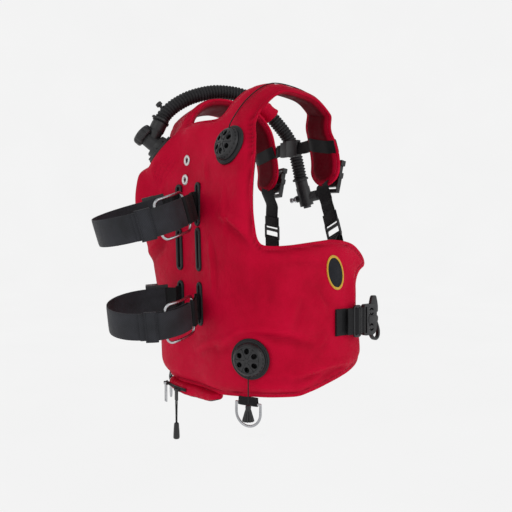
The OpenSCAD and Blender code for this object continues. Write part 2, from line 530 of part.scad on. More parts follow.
module mouthpiece() {
    color([0.3, 0.3, 0.31]) inflator() translate([27.2, 0, 42]) rotate([0, 90, 0]) difference() {
        union() {
            cylinder(r = 12, h = 8);
            translate([0, 0, 8]) linear_extrude(5) polygon([for (a = [0:10:350]) [12.5 * cos(a), 18 * sin(a)]]);
        }
        translate([0, 0, -1]) cylinder(r = 8.6, h = 20);
    }
}
module lp_nipple() {
    color(steel) inflator() translate([-21.2, 0, 40]) rotate([0, -90, 0])
        rotate_extrude() polygon([[0, 0], [6.8, 0], [6.8, 4], [5, 5], [5, 8.5], [6.1, 9.5], [6.1, 13], [5, 15], [0, 15]]);
}

// ---- sternum strap
st_z = 498;
st_y = -89;
st_t = 847;
module sternum_web() {
    color(black) {
        for (k = [-1, 1]) {
            slab(k > 0 ? [s_in, 93, 112, 131, s_out] : [-s_out, -131, -112, -93, -s_in], [[-200, st_t - 13], [200, st_t - 13]],
                [[-200, st_t + 13], [200, st_t + 13]], 2, 0.6, 2.6, 0, 1);
            slab(k > 0 ? [s_in, 93, 112, 131, s_out] : [-s_out, -131, -112, -93, -s_in], [[-200, st_t - 13], [200, st_t - 13]],
                [[-200, st_t + 13], [200, st_t + 13]], 2, -strap_t - 2.6, -strap_t - 0.6, 0, 1);
        }
        translate([-66.5, st_y - 1, st_z - 12.5]) cube([46.9, 2, 25]);
        translate([0, 0, st_z]) ribbon([[26, st_y], [42, st_y], [45, st_y - 1.2], [66.5, st_y - 16.5]], 2, 25);
    }
}
module sternum_female() {
    color(black) difference() {
        translate([-30, st_y - 6, st_z - 17]) cube([34, 12, 34]);
        translate([-34, st_y - 1.6, st_z - 13.2]) cube([15, 3.2, 26.4]);
        translate([-17, st_y - 3.4, st_z - 14]) cube([30, 6.8, 28]);
        for (k = [-1, 1]) translate([-14, st_y - 3.4, st_z + k * 16 - 4]) cube([12, 6.8, 8]);
    }
}
module sternum_male() {
    color(black) difference() {
        union() {
            translate([4.8, st_y - 4.5, st_z - 16]) cube([22, 9, 32]);
            for (k = [-1, 1]) translate([-9.5, st_y - 2.6, st_z + k * 10 - 2.4]) cube([15, 5.2, 4.8]);
            translate([-9.5, st_y - 2.6, st_z - 2]) cube([15, 5.2, 4]);
        }
        translate([10, st_y - 1.6, st_z - 13.2]) cube([40, 3.2, 26.4]);
    }
}

// ---- shoulder lower straps: webbing from the pad end to the front of the lobe
function sw_a(k) = k < 0 ? [-108, -94, 396] : [100, -117, 396];
function sw_b(k) = k < 0 ? [-150, -92, 284] : [122, -136, 282];
module sw_frame(k) { pose(sw_a(k), sw_b(k) - sw_a(k), [k, 0.1, 0]) children(); }
module shoulder_webs() {
    color(black) for (k = [-1, 1]) sw_frame(k) translate([-19, -1.2, -1]) cube([38, 2.4, 125]);
}
module shoulder_buckles() {
    color(black) for (k = [-1, 1]) on_wall(k > 0 ? 120 : -88, 917, 0.8) difference() {
        union() {
            translate([-21, -33, 0]) cube([42, 36, 11]);
            translate([-19, 2, 1]) cube([38, 31, 9]);
        }
        for (j = [-1, 1]) translate([j * 20 - 4, -22, -10]) cube([8, 14, 40]);
        translate([-16, 21, -10]) cube([32, 5, 40]);
        translate([-16, -29, -10]) cube([32, 4, 40]);
    }
}
module shoulder_adjusters() {
    color(black) for (k = [-1, 1]) sw_frame(k) difference() {
        translate([-23, -4, 58]) cube([46, 8, 38]);
        translate([-19.6, -1.7, 50]) cube([39.2, 3.4, 60]);
        for (z = [63, 79]) translate([-19.6, -10, z]) cube([39.2, 20, 11]);
    }
}

// ---- waist straps: sewn tabs on the lobes, free ends that swing, and the two buckle halves
wa_t = 151;
module waist_tabs() {
    color(black) for (k = [-1, 1]) slab(k > 0 ? [334, 346, 358, 370] : [-370, -358, -346, -334],
        [[-400, wa_t - 25], [400, wa_t - 25]], [[-400, wa_t + 25], [400, wa_t + 25]], 2, 0.8, 3.2, 0, 1);
}
// local x runs forward along the strap, local y up, local z out
module waist(k) { pose(Q(k * 372, wa_t, 6.5), N(k * 372, wa_t), k * (P(k * 372 + 4, wa_t) - P(k * 372 - 4, wa_t))) children(); }
module waist_strap(k) {
    color(black) waist(k) difference() {
        union() {
            translate([2, -25, -1.2]) cube([42, 50, 2.4]);
            translate([14, -29, 1.6]) cube([20, 58, 4]);
        }
        for (x = [17, 25.5]) translate([x, -25.6, 1.2]) cube([5.5, 51.2, 10]);
    }
}
module right_waist_strap() { waist_strap(1); }
module left_waist_strap() { waist_strap(-1); }
module waist_male() {
    color(black) waist(1) difference() {
        union() {
            translate([44.6, -30, -4.5]) cube([24, 60, 9]);
            for (k = [-1, 1]) {
                translate([68, k * 24 - 4, -3.5]) cube([24, 8, 7]);
                translate([84, k * 26.5 - 5.5, -3.5]) cube([10, 11, 7]);
            }
            translate([68, -5, -3]) cube([22, 10, 6]);
        }
        translate([48, -25.5, -10]) cube([5, 51, 20]);
        for (k = [-1, 1]) translate([56, k * 14 - 8, -10]) cube([8, 16, 20]);
    }
}
module waist_female() {
    color(black) waist(-1) difference() {
        translate([44.6, -32, -6.5]) cube([50, 64, 13]);
        translate([62, -28.5, -4]) cube([40, 57, 8]);
        translate([48, -25.5, -10]) cube([5, 51, 20]);
        for (k = [-1, 1]) translate([68, k * 30 - 5, -4]) cube([14, 10, 8]);
    }
}

// ---- zip along the pouch, its pull tab and the cord puller
module zip_chain() {
    color(black) slab([-118, -104, -90, -76, -62, -48, -34], [[-130, 3.4], [-85, 0], [-30, -1]],
        [[-130, 9.4], [-85, 6], [-30, 5]], 1, -1.6, 0.8, 0, 1);
    color(black) slider(zp, 5.2, -6.4);
    color(black) slider(zc, 5.8, -5.9);
}
zp = Q(-108, 4, 5);
zc = Q(-60, -1, 4.5);
// two ears that stand off the zip and hold a cross pin
module slider(p, x, y) {
    translate(p) {
        for (k = [-1, 1]) translate([k * (x + 0.8) - 0.8, y, -1.8]) cube([1.6, 1.8 - y, 6]);
        rotate([0, 90, 0]) cylinder(r = 1, h = 2 * x + 2.4, center = true);
    }
}
module zip_pull() {
    color(steel) translate([zp[0], zp[1], zp[2]]) difference() {
        union() {
            translate([-4.5, -1, -38]) cube([9, 2, 36]);
            rotate([0, 90, 0]) cylinder(r = 3, h = 9, center = true);
        }
        rotate([0, 90, 0]) cylinder(r = 1.3, h = 20, center = true);
        translate([-2.4, -5, -34]) cube([4.8, 10, 18]);
    }
}
module zip_cord_puller() {
    color(black) translate(zc) {
        difference() {
            union() {
                translate([-5, -1.5, -22]) cube([10, 3, 20]);
                rotate([0, 90, 0]) cylinder(r = 2.6, h = 10, center = true);
            }
            rotate([0, 90, 0]) cylinder(r = 1.3, h = 20, center = true);
        }
        for (k = [-1, 1]) translate([k * 2.5, 0, -84]) cylinder(r = 1.1, h = 63);
        translate([0, 0, -82]) scale(0.62) knob();
        translate([-4, -2, -84]) cube([8, 4, 3]);
    }
}

jacket_back();
right_lobe();
left_lobe();
right_shoulder_strap();
left_shoulder_strap();
hose_flap();
back_pad();
back_plate();
lumbar_pouch();
slot_trims();
grommets();
oval_patch();
band_anchors();
upper_band_ring();
upper_band_strap();
lower_band_ring();
lower_band_strap();
band_keepers();
cam_frames();
cam_pins();
upper_cam_lever();
lower_cam_lever();
hip_tabs();
right_hip_ring();
left_hip_ring();
valve_gaskets();
valve_housings();
valve_caps();
lower_poppet();
shoulder_poppet();
lower_spring();
shoulder_spring();
lower_pull_cord();
lower_pull_knob();
shoulder_pull_cord();
shoulder_pull_knob();
elbow_flange();
elbow_body();
elbow_cap();
inflator_hose();
hose_ties();
inflator_body();
inflate_button();
deflate_button();
mouthpiece();
lp_nipple();
sternum_web();
sternum_female();
sternum_male();
shoulder_webs();
shoulder_buckles();
shoulder_adjusters();
waist_tabs();
right_waist_strap();
waist_male();
left_waist_strap();
waist_female();
zip_chain();
zip_pull();
zip_cord_puller();
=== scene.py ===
import json
import math
import bpy
import bmesh
import numpy as np
from mathutils import Vector, Matrix
from mathutils.bvhtree import BVHTree
from mathutils.kdtree import KDTree


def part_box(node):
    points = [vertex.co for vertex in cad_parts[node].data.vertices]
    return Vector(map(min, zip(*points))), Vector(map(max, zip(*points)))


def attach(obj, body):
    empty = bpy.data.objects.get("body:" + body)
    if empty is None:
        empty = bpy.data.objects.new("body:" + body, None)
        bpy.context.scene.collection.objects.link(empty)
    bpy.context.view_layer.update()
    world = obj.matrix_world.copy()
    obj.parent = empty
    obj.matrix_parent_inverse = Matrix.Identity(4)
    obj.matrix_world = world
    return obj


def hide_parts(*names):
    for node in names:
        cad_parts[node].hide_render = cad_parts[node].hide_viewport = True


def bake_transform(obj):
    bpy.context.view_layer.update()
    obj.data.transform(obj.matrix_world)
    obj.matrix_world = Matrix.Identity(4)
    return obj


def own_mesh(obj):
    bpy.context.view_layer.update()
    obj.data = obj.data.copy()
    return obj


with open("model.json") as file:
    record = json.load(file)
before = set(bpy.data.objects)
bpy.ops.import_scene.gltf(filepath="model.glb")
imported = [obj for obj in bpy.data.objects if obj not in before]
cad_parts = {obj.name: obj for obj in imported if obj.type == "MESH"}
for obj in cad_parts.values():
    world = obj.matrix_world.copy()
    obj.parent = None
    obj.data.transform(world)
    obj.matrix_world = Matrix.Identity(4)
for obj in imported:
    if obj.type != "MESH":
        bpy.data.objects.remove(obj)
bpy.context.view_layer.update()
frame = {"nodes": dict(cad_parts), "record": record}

scene = bpy.context.scene
NODES = frame["nodes"]
RNG = np.random.RandomState(7)

# ------------------------------------------------------------------ the jacket's surface map, in mm
HALF_W, BACK_D, FRONT_D, WALL, STRAP_T = 220.0, 162.0, 185.0, 36.0, 18.0
PROF = [[152, -60], [154, 0], [159, 120], [163, 240], [166, 340], [165, 400], [158, 450], [146, 495], [128, 533], [103, 566],
        [72, 591], [36, 605], [2, 606], [-30, 596], [-60, 574], [-84, 541], [-100, 501], [-107, 461], [-103, 428], [-94, 402],
        [-84, 376], [-74, 350]]


def ease(x):
    x = np.clip(x, 0.0, 1.0)
    return x * x * (3 - 2 * x)


def catmull(p, n):
    p = np.asarray(p, float)
    out = []
    for i in range(len(p) - 1):
        a, b, c, d = p[max(i - 1, 0)], p[i], p[i + 1], p[min(i + 2, len(p) - 1)]
        for j in range(n):
            u = j / n
            out.append(0.5 * (2 * b + (c - a) * u + (2 * a - 5 * b + 4 * c - d) * u * u + (3 * b - a - 3 * c + d) * u ** 3))
    out.append(p[-1])
    return np.array(out)


def lengths(p):
    return np.concatenate([[0], np.cumsum(np.linalg.norm(np.diff(p, axis=0), axis=1))])


def resample(p, step):
    p = np.asarray(p, float)
    l = lengths(p)
    n = max(2, int(round(l[-1] / step)) + 1)
    q = np.linspace(0, l[-1], n)
    return np.stack([np.interp(q, l, p[:, k]) for k in range(p.shape[1])], 1)


def wth(a):
    a = np.radians(a)
    c, s = np.cos(a), np.sin(a)
    n = np.where(c >= 0, 3.2, 2.6)
    b = np.where(c >= 0, BACK_D, FRONT_D)
    return -HALF_W * np.sign(s) * np.abs(s) ** (2 / n), b * np.sign(c) * np.abs(c) ** (2 / n)


QA = 170 * np.linspace(0, 1, 3000) ** 2
ARC = lengths(np.stack(wth(QA), 1))
PF = catmull(PROF, 24)
PT = lengths(PF)
PT = PT - PT[24]


def P(s, t):
    s, t = np.broadcast_arrays(np.asarray(s, float), np.asarray(t, float))
    a, g = np.abs(s), np.sign(s)
    wx, wy = wth(g * np.interp(a, ARC, QA))
    f = 0.85 * ease((t - 120) / 260) * (1 - ease((a - 170) / 90))
    wx = wx + (-s - wx) * f
    wy = wy + (BACK_D - wy) * f
    fl = 16 * ease((a - 395) / 60) * ease((t - 170) / 80)
    dep = 1 - 1.15 * ease((t - 470) / 330)
    slo = 0.22 * ease((t - 440) / 160) * (1 - ease((t - 760) / 200))
    dip = 6 * np.exp(-(s / 50) ** 2) * (1 - ease((t - 430) / 80))
    neck = 30 * ease((t - 450) / 110) * np.exp(-(s / 62) ** 2)
    wing = 32 * ease((-s - 100) / 80) * ease((t - 240) / 160) * (1 - ease((t - 430) / 140)) * (1 - ease((-s - 190) / 90))
    turn = 0.2 * ease((t - 640) / 100) * (1 - 0.75 * ease((t - 790) / 70))
    lean = 20 * ease((-s - 10) / 50) * ease((t - 600) / 200)
    arch = 25 * ease((s - 10) / 50) * ease((t - 660) / 65) * (1 - ease((t - 765) / 55))
    rise = 5 * ease((s - 10) / 50) * np.exp(-((t - 645) / 40) ** 2)
    broad = 22 * ease((-s - 90) / 60) * ease((t - 510) / 40) * (1 - ease((t - 580) / 110))
    full = 8 * ease((-s - 10) / 50) * ease((t - 515) / 60) * (1 - ease((t - 610) / 90))
    x = wx - g * 0.75 * fl + broad
    y = np.interp(t, PT, PF[:, 0]) + dep * (wy - BACK_D) - dip + neck + wing + turn * (a - 112) - 0.65 * fl - lean - arch
    z = np.interp(t, PT, PF[:, 1]) - slo * np.maximum(0, a - 68) + rise + full
    return np.stack([x, y, z], -1)


def unit(v):
    v = np.asarray(v, float)
    return v / np.maximum(np.linalg.norm(v, axis=-1, keepdims=True), 1e-12)


def N(s, t):
    s, t = np.asarray(s, float), np.asarray(t, float)
    return unit(np.cross(P(s + 4, t) - P(s - 4, t), P(s, t + 4) - P(s, t - 4)))


def Q(s, t, h):
    return P(s, t) + np.asarray(h, float)[..., None] * N(s, t)


def pose(p, ez, ex):
    z = unit(ez)
    y = unit(np.cross(z, ex))
    x = np.cross(y, z)
    m = np.eye(4)
    m[:3, 0], m[:3, 1], m[:3, 2], m[:3, 3] = x, y, z, p
    return m


def on_wall(s, t, h=0.0):
    return pose(Q(s, t, h), N(s, t), P(s + 4, t) - P(s - 4, t))


def put(m, v):
    v = np.asarray(v, float)
    return v @ m[:3, :3].T + m[:3, 3]


def rot(axis, deg):
    return np.array(Matrix.Rotation(math.radians(deg), 4, axis))


def shift(v):
    m = np.eye(4)
    m[:3, 3] = v
    return m


# ------------------------------------------------------------------ materials
def nodes_of(name):
    m = bpy.data.materials.new(name)
    m.use_nodes = True
    return m, m.node_tree.nodes, m.node_tree.links


def add(ns, kind, **kw):
    n = ns.new(kind)
    for k, v in kw.items():
        setattr(n, k, v)
    return n


def ramp(ns, lk, src, stops):
    r = ns.new("ShaderNodeValToRGB")
    e = r.color_ramp.elements
    while len(e) < len(stops):
        e.new(0.5)
    for i, (p, c) in enumerate(stops):
        e[i].position = p
        e[i].color = (c[0], c[1], c[2], 1) if len(c) == 3 else c
    lk.new(src, r.inputs[0])
    return r


def srgb(r, g, b):
    def f(c):
        c = c / 255.0
        return c / 12.92 if c <= 0.04045 else ((c + 0.055) / 1.055) ** 2.4
    return (f(r), f(g), f(b))


def fabric(name, lo, mid, hi, rough=(0.5, 0.68), sheen=0.3, tint=(1, 0.75, 0.75), pitch=1.5, weave=0.25, crinkle=0.25, uv=True,
           spec=0.35, broad=9.0):
    m, ns, lk = nodes_of(name)
    b = ns["Principled BSDF"]
    tc = ns.new("ShaderNodeTexCoord")
    src = tc.outputs["UV" if uv else "Object"]
    big = add(ns, "ShaderNodeTexNoise")
    big.inputs["Scale"].default_value = broad
    big.inputs["Detail"].default_value = 5
    big.inputs["Roughness"].default_value = 0.62
    lk.new(tc.outputs["Object"], big.inputs["Vector"])
    col = ramp(ns, lk, big.outputs["Fac"], [(0.28, lo), (0.5, mid), (0.74, hi)])
    sc = 6.2832 / (pitch * 0.001) / 20.0
    wx = add(ns, "ShaderNodeTexWave", wave_type="BANDS", bands_direction="X")
    wy = add(ns, "ShaderNodeTexWave", wave_type="BANDS", bands_direction="Y")
    for w in (wx, wy):
        w.inputs["Scale"].default_value = sc
        w.inputs["Distortion"].default_value = 0.6
        w.inputs["Detail"].default_value = 0
        lk.new(src, w.inputs["Vector"])
    mul = add(ns, "ShaderNodeMath", operation="MULTIPLY")
    lk.new(wx.outputs["Fac"], mul.inputs[0])
    lk.new(wy.outputs["Fac"], mul.inputs[1])
    tone = ramp(ns, lk, mul.outputs[0], [(0.0, (0.72, 0.72, 0.72)), (0.6, (1.12, 1.12, 1.12))])
    mix = add(ns, "ShaderNodeMix", data_type="RGBA", blend_type="MULTIPLY")
    mix.inputs[0].default_value = 0.75
    lk.new(col.outputs[0], mix.inputs[6])
    lk.new(tone.outputs[0], mix.inputs[7])
    # the shade attribute multiplies the colour: painted shade in seam grooves and fold hollows, a painted highlight on
    # fold ridges, and the lining's darker tone
    at = add(ns, "ShaderNodeAttribute", attribute_name="shade")
    dark = add(ns, "ShaderNodeMix", data_type="RGBA", blend_type="MULTIPLY")
    dark.inputs[0].default_value = 1.0
    lk.new(mix.outputs[2], dark.inputs[6])
    lk.new(at.outputs["Color"], dark.inputs[7])
    lk.new(dark.outputs[2], b.inputs["Base Color"])
    cr = add(ns, "ShaderNodeTexNoise")
    cr.inputs["Scale"].default_value = 55
    cr.inputs["Detail"].default_value = 6
    cr.inputs["Roughness"].default_value = 0.6
    cr.inputs["Distortion"].default_value = 0.8
    lk.new(tc.outputs["Object"], cr.inputs["Vector"])
    rr = ramp(ns, lk, cr.outputs["Fac"], [(0.3, (rough[0],) * 3), (0.7, (rough[1],) * 3)])
    lk.new(rr.outputs[0], b.inputs["Roughness"])
    b1 = ns.new("ShaderNodeBump")
    b1.inputs["Strength"].default_value = crinkle
    b1.inputs["Distance"].default_value = 0.004
    lk.new(cr.outputs["Fac"], b1.inputs["Height"])
    b2 = ns.new("ShaderNodeBump")
    b2.inputs["Strength"].default_value = weave
    b2.inputs["Distance"].default_value = 0.0004
    lk.new(mul.outputs[0], b2.inputs["Height"])
    lk.new(b1.outputs[0], b2.inputs["Normal"])
    lk.new(b2.outputs[0], b.inputs["Normal"])
    b.inputs["Sheen Weight"].default_value = sheen
    b.inputs["Sheen Roughness"].default_value = 0.45
    b.inputs["Sheen Tint"].default_value = (tint[0], tint[1], tint[2], 1)
    b.inputs["Specular IOR Level"].default_value = spec
    return m


def webbing(name, lo, hi, pitch=1.7, rough=0.62, spec=0.4, sheen=0.15):
    m, ns, lk = nodes_of(name)
    b = ns["Principled BSDF"]
    tc = ns.new("ShaderNodeTexCoord")
    mp = ns.new("ShaderNodeMapping")
    mp.inputs["Rotation"].default_value = (0, 0, math.radians(58))
    lk.new(tc.outputs["UV"], mp.inputs["Vector"])
    sc = 6.2832 / (pitch * 0.001) / 20.0
    w1 = add(ns, "ShaderNodeTexWave", wave_type="BANDS", bands_direction="Y")
    w1.inputs["Scale"].default_value = sc
    w1.inputs["Distortion"].default_value = 0.4
    lk.new(tc.outputs["UV"], w1.inputs["Vector"])
    w2 = add(ns, "ShaderNodeTexWave", wave_type="BANDS", bands_direction="X")
    w2.inputs["Scale"].default_value = sc * 0.8
    w2.inputs["Distortion"].default_value = 0.4
    lk.new(mp.outputs[0], w2.inputs["Vector"])
    mul = add(ns, "ShaderNodeMath", operation="MULTIPLY")
    lk.new(w1.outputs["Fac"], mul.inputs[0])
    lk.new(w2.outputs["Fac"], mul.inputs[1])
    nz = ns.new("ShaderNodeTexNoise")
    nz.inputs["Scale"].default_value = 32
    nz.inputs["Detail"].default_value = 5
    lk.new(tc.outputs["Object"], nz.inputs["Vector"])
    col = ramp(ns, lk, nz.outputs["Fac"], [(0.3, lo), (0.72, hi)])
    tone = ramp(ns, lk, mul.outputs[0], [(0.0, (0.55, 0.55, 0.55)), (0.55, (1.25, 1.25, 1.25))])
    mix = add(ns, "ShaderNodeMix", data_type="RGBA", blend_type="MULTIPLY")
    mix.inputs[0].default_value = 0.85
    lk.new(col.outputs[0], mix.inputs[6])
    lk.new(tone.outputs[0], mix.inputs[7])
    lk.new(mix.outputs[2], b.inputs["Base Color"])
    b2 = ns.new("ShaderNodeBump")
    b2.inputs["Strength"].default_value = 0.5
    b2.inputs["Distance"].default_value = 0.0006
    lk.new(mul.outputs[0], b2.inputs["Height"])
    lk.new(b2.outputs[0], b.inputs["Normal"])
    rr = ramp(ns, lk, nz.outputs["Fac"], [(0.3, (rough - 0.08,) * 3), (0.7, (rough + 0.1,) * 3)])
    lk.new(rr.outputs[0], b.inputs["Roughness"])
    b.inputs["Sheen Weight"].default_value = sheen
    b.inputs["Specular IOR Level"].default_value = spec
    return m


def moulded(name, lo, hi, rough=(0.38, 0.55), grain=420, bump=0.12, metal=0.0, spec=0.5, scratch=0.0, coat=0.0):
    m, ns, lk = nodes_of(name)
    b = ns["Principled BSDF"]
    tc = ns.new("ShaderNodeTexCoord")
    n1 = ns.new("ShaderNodeTexNoise")
    n1.inputs["Scale"].default_value = 26
    n1.inputs["Detail"].default_value = 6
    lk.new(tc.outputs["Object"], n1.inputs["Vector"])
    n2 = ns.new("ShaderNodeTexNoise")
    n2.inputs["Scale"].default_value = grain
    n2.inputs["Detail"].default_value = 3
    lk.new(tc.outputs["Object"], n2.inputs["Vector"])
    ge = ns.new("ShaderNodeNewGeometry")
    wear = ramp(ns, lk, ge.outputs["Pointiness"], [(0.5, lo), (0.62, hi)])
    col = ramp(ns, lk, n1.outputs["Fac"], [(0.3, lo), (0.75, hi)])
    mix = add(ns, "ShaderNodeMix", data_type="RGBA", blend_type="LIGHTEN")
    mix.inputs[0].default_value = 0.55
    lk.new(col.outputs[0], mix.inputs[6])
    lk.new(wear.outputs[0], mix.inputs[7])
    lk.new(mix.outputs[2], b.inputs["Base Color"])
    rr = ramp(ns, lk, n1.outputs["Fac"], [(0.3, (rough[0],) * 3), (0.7, (rough[1],) * 3)])
    lk.new(rr.outputs[0], b.inputs["Roughness"])
    bp = ns.new("ShaderNodeBump")
    bp.inputs["Strength"].default_value = bump
    bp.inputs["Distance"].default_value = 0.0005
    lk.new(n2.outputs["Fac"], bp.inputs["Height"])
    lk.new(bp.outputs[0], b.inputs["Normal"])
    b.inputs["Metallic"].default_value = metal
    b.inputs["Specular IOR Level"].default_value = spec
    if coat:
        b.inputs["Coat Weight"].default_value = coat
    return m


M_RED = fabric("red_cloth", srgb(170, 3, 38), srgb(192, 6, 47), srgb(207, 10, 55), sheen=0.0, spec=0.05, tint=(1, 0.2, 0.3))
M_TRIM = fabric("red_trim", srgb(172, 3, 38), srgb(196, 8, 48), srgb(212, 20, 60), pitch=1.1, weave=0.4, sheen=0.0, spec=0.08)
M_THREAD = fabric("thread", srgb(180, 30, 60), srgb(200, 52, 78), srgb(216, 78, 100), uv=False, pitch=0.6, spec=0.1, sheen=0.0)
M_PAD = fabric("mesh_pad", srgb(24, 24, 26), srgb(32, 32, 35), srgb(44, 44, 48), rough=(0.75, 0.9), pitch=3.0, weave=0.8, tint=(1, 1, 1),
               sheen=0.1)
M_WEB = webbing("black_web", srgb(13, 13, 15), srgb(27, 27, 30), spec=0.2, sheen=0.04)
M_CHAR = webbing("charcoal_web", srgb(31, 32, 36), srgb(50, 51, 57), spec=0.22, sheen=0.05)
M_CORD = webbing("braid", srgb(14, 14, 15), srgb(28, 28, 30), pitch=1.0, spec=0.25, sheen=0.04)
M_BLACK = moulded("black_mould", srgb(15, 15, 17), srgb(34, 34, 37))
M_GREY = moulded("grey_mould", srgb(58, 59, 63), srgb(88, 89, 94))
M_RUBBER = moulded("dark_rubber", srgb(17, 17, 19), srgb(36, 36, 39), rough=(0.5, 0.68), grain=260, bump=0.2, spec=0.35)
M_STEEL = moulded("steel", srgb(150, 151, 154), srgb(206, 207, 210), rough=(0.18, 0.34), grain=900, bump=0.04, metal=1.0)
M_PALE = moulded("pale_metal", srgb(196, 197, 198), srgb(226, 226, 226), rough=(0.25, 0.4), metal=0.85, bump=0.03)
M_PATCH = fabric("patch_ground", srgb(14, 14, 18), srgb(22, 23, 29), srgb(32, 34, 42), uv=False, pitch=1.0, weave=0.6, tint=(1, 1, 1), spec=0.15,
                 sheen=0.05)
M_GOLD = fabric("patch_edge", srgb(190, 142, 20), srgb(214, 166, 34), srgb(228, 188, 62), uv=False, pitch=0.8, weave=0.7, tint=(1, 1, 0.8))


# ------------------------------------------------------------------ mesh helpers
def mesh_obj(name, v, faces, mats, body="jacket", uv=None, idx=None, smooth=True, sharp=None, shade=None):
    me = bpy.data.meshes.new(name)
    me.from_pydata((np.asarray(v, float) * 0.001).tolist(), [], [tuple(int(i) for i in f) for f in faces])
    me.validate()
    mats = mats if isinstance(mats, (list, tuple)) else [mats]
    for m in mats:
        me.materials.append(m)
    if idx is not None:
        me.polygons.foreach_set("material_index", np.asarray(idx, np.int32))
    me.polygons.foreach_set("use_smooth", np.full(len(me.polygons), smooth))
    if sharp:
        me.set_sharp_from_angle(angle=math.radians(sharp))
    if uv is not None:
        lay = me.uv_layers.new(name="UVMap")
        li = np.empty(len(me.loops), np.int32)
        me.loops.foreach_get("vertex_index", li)
        lay.data.foreach_set("uv", (np.asarray(uv, float)[li] * 0.001).ravel())
    # the shade colour attribute, multiplied into fabric colours: painted shade and highlight, and the lining's darker
    # tone
    sh = me.color_attributes.new("shade", "FLOAT_COLOR", "POINT")
    c = np.ones((len(me.vertices), 4), np.float32)
    if shade is not None:
        c[:, :3] = np.asarray(shade, np.float32)[:, None]
    sh.data.foreach_set("color", c.ravel())
    o = bpy.data.objects.new(name, me)
    scene.collection.objects.link(o)
    if body:
        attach(o, body)
    return o


def outward(o):
    bm = bmesh.new()
    bm.from_mesh(o.data)
    bmesh.ops.recalc_face_normals(bm, faces=bm.faces)
    bm.to_mesh(o.data)
    bm.free()
    return o


def apply_mods(o):
    dg = bpy.context.evaluated_depsgraph_get()
    me = bpy.data.meshes.new_from_object(o.evaluated_get(dg))
    old = o.data
    me.name = old.name
    o.modifiers.clear()
    o.data = me
    bpy.data.meshes.remove(old)
    return o


def cut(o, cutters, op="DIFFERENCE"):
    for c in cutters:
        m = o.modifiers.new("cut", "BOOLEAN")
        m.operation = op
        m.solver = "EXACT"
        m.object = c
    apply_mods(o)
    for c in cutters:
        me = c.data
        bpy.data.objects.remove(c)
        bpy.data.meshes.remove(me)
    return o


def bevelled(o, width, seg=2, angle=35, sharp=40):
    b = o.modifiers.new("bevel", "BEVEL")
    b.width = width * 0.001
    b.segments = seg
    b.limit_method = "ANGLE"
    b.angle_limit = math.radians(angle)
    b.use_clamp_overlap = True
    apply_mods(o)
    o.data.polygons.foreach_set("use_smooth", np.full(len(o.data.polygons), True))
    o.data.set_sharp_from_angle(angle=math.radians(sharp))
    return o


def body_of(node):
    for b, ns in frame["record"]["behaviour"]["bodies"].items():
        if node in ns:
            return b
    return "jacket"


def refine(node, mat, width=0.7, seg=2, angle=32, uvs=False):
    """A copy of the CAD node's mesh with its edges rounded, in place of it."""
    me = NODES[node].data.copy()
    me.name = node + "_shape"
    o = bpy.data.objects.new(node + "_shape", me)
    scene.collection.objects.link(o)
    bm = bmesh.new()
    bm.from_mesh(me)
    bmesh.ops.remove_doubles(bm, verts=bm.verts, dist=2e-6)
    bmesh.ops.dissolve_limit(bm, angle_limit=math.radians(1.5), verts=bm.verts, edges=bm.edges)
    bm.to_mesh(me)
    bm.free()
    me.materials.clear()
    me.materials.append(mat)
    sh = me.color_attributes.new("shade", "FLOAT_COLOR", "POINT")
    sh.data.foreach_set("color", np.ones(len(me.vertices) * 4, np.float32))
    if width:
        bevelled(o, width, seg, angle)
    else:
        me.polygons.foreach_set("use_smooth", np.full(len(me.polygons), True))
        me.set_sharp_from_angle(angle=math.radians(angle))
    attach(o, body_of(node))
    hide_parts(node)
    return o


def frames_along(c):
    t = unit(np.gradient(c, axis=0))
    n = np.cross(t[0], [0, 0, 1.0])
    if np.linalg.norm(n) < 0.1:
        n = np.cross(t[0], [1.0, 0, 0])
    u = [unit(n)]
    for i in range(1, len(c)):
        p = u[-1] - t[i] * np.dot(u[-1], t[i])
        u.append(unit(p))
    u = np.array(u)
    return t, u, np.cross(t, u)


def tube(name, c, r, mat, body="jacket", n=14, cap=True):
    c = np.asarray(c, float)
    r = np.broadcast_to(np.asarray(r, float), (len(c),))
    t, u, w = frames_along(c)
    a = np.arange(n) * 2 * math.pi / n
    v = c[:, None] + r[:, None, None] * (np.cos(a)[None, :, None] * u[:, None] + np.sin(a)[None, :, None] * w[:, None])
    l = lengths(c)
    uv = np.stack(np.broadcast_arrays((a * r.mean())[None, :], l[:, None]), -1).reshape(-1, 2)
    f = []
    for i in range(len(c) - 1):
        for k in range(n):
            k2 = (k + 1) % n
            f.append((i * n + k, i * n + k2, (i + 1) * n + k2, (i + 1) * n + k))
    if cap:
        f.append(tuple(range(n - 1, -1, -1)))
        f.append(tuple((len(c) - 1) * n + k for k in range(n)))
    return outward(mesh_obj(name, v.reshape(-1, 3), f, mat, body, uv))


def ribbon(name, c, w, width, th, mat, body="jacket", n=9, closed=False, wear=0.0):
    """Flat webbing along the points c, its width along w."""
    c = np.asarray(c, float)
    w = unit(np.broadcast_to(np.asarray(w, float), c.shape))
    t = unit(np.gradient(c, axis=0))
    b = unit(np.cross(t, w))
    w = np.cross(b, t)
    width = np.broadcast_to(np.asarray(width, float), (len(c),))
    x = np.linspace(-1, 1, n)
    e = th / 2 * (1 - 0.5 * np.abs(x) ** 9)
    cs = np.concatenate([np.stack([x, e], 1), np.stack([x[::-1], -e[::-1]], 1)])
    m = len(cs)
    v = c[:, None] + cs[None, :, 0, None] * w[:, None] * width[:, None, None] / 2 + cs[None, :, 1, None] * b[:, None]
    l = lengths(c)
    uv = np.stack(np.broadcast_arrays(cs[None, :, 0] * width[:, None] / 2, l[:, None]), -1).reshape(-1, 2)
    f = []
    for i in range(len(c) - 1):
        for k in range(m):
            k2 = (k + 1) % m
            f.append((i * m + k, i * m + k2, (i + 1) * m + k2, (i + 1) * m + k))
    if not closed:
        f.append(tuple(range(m - 1, -1, -1)))
        f.append(tuple((len(c) - 1) * m + k for k in range(m)))
    return outward(mesh_obj(name, v.reshape(-1, 3), f, mat, body, uv, sharp=50))


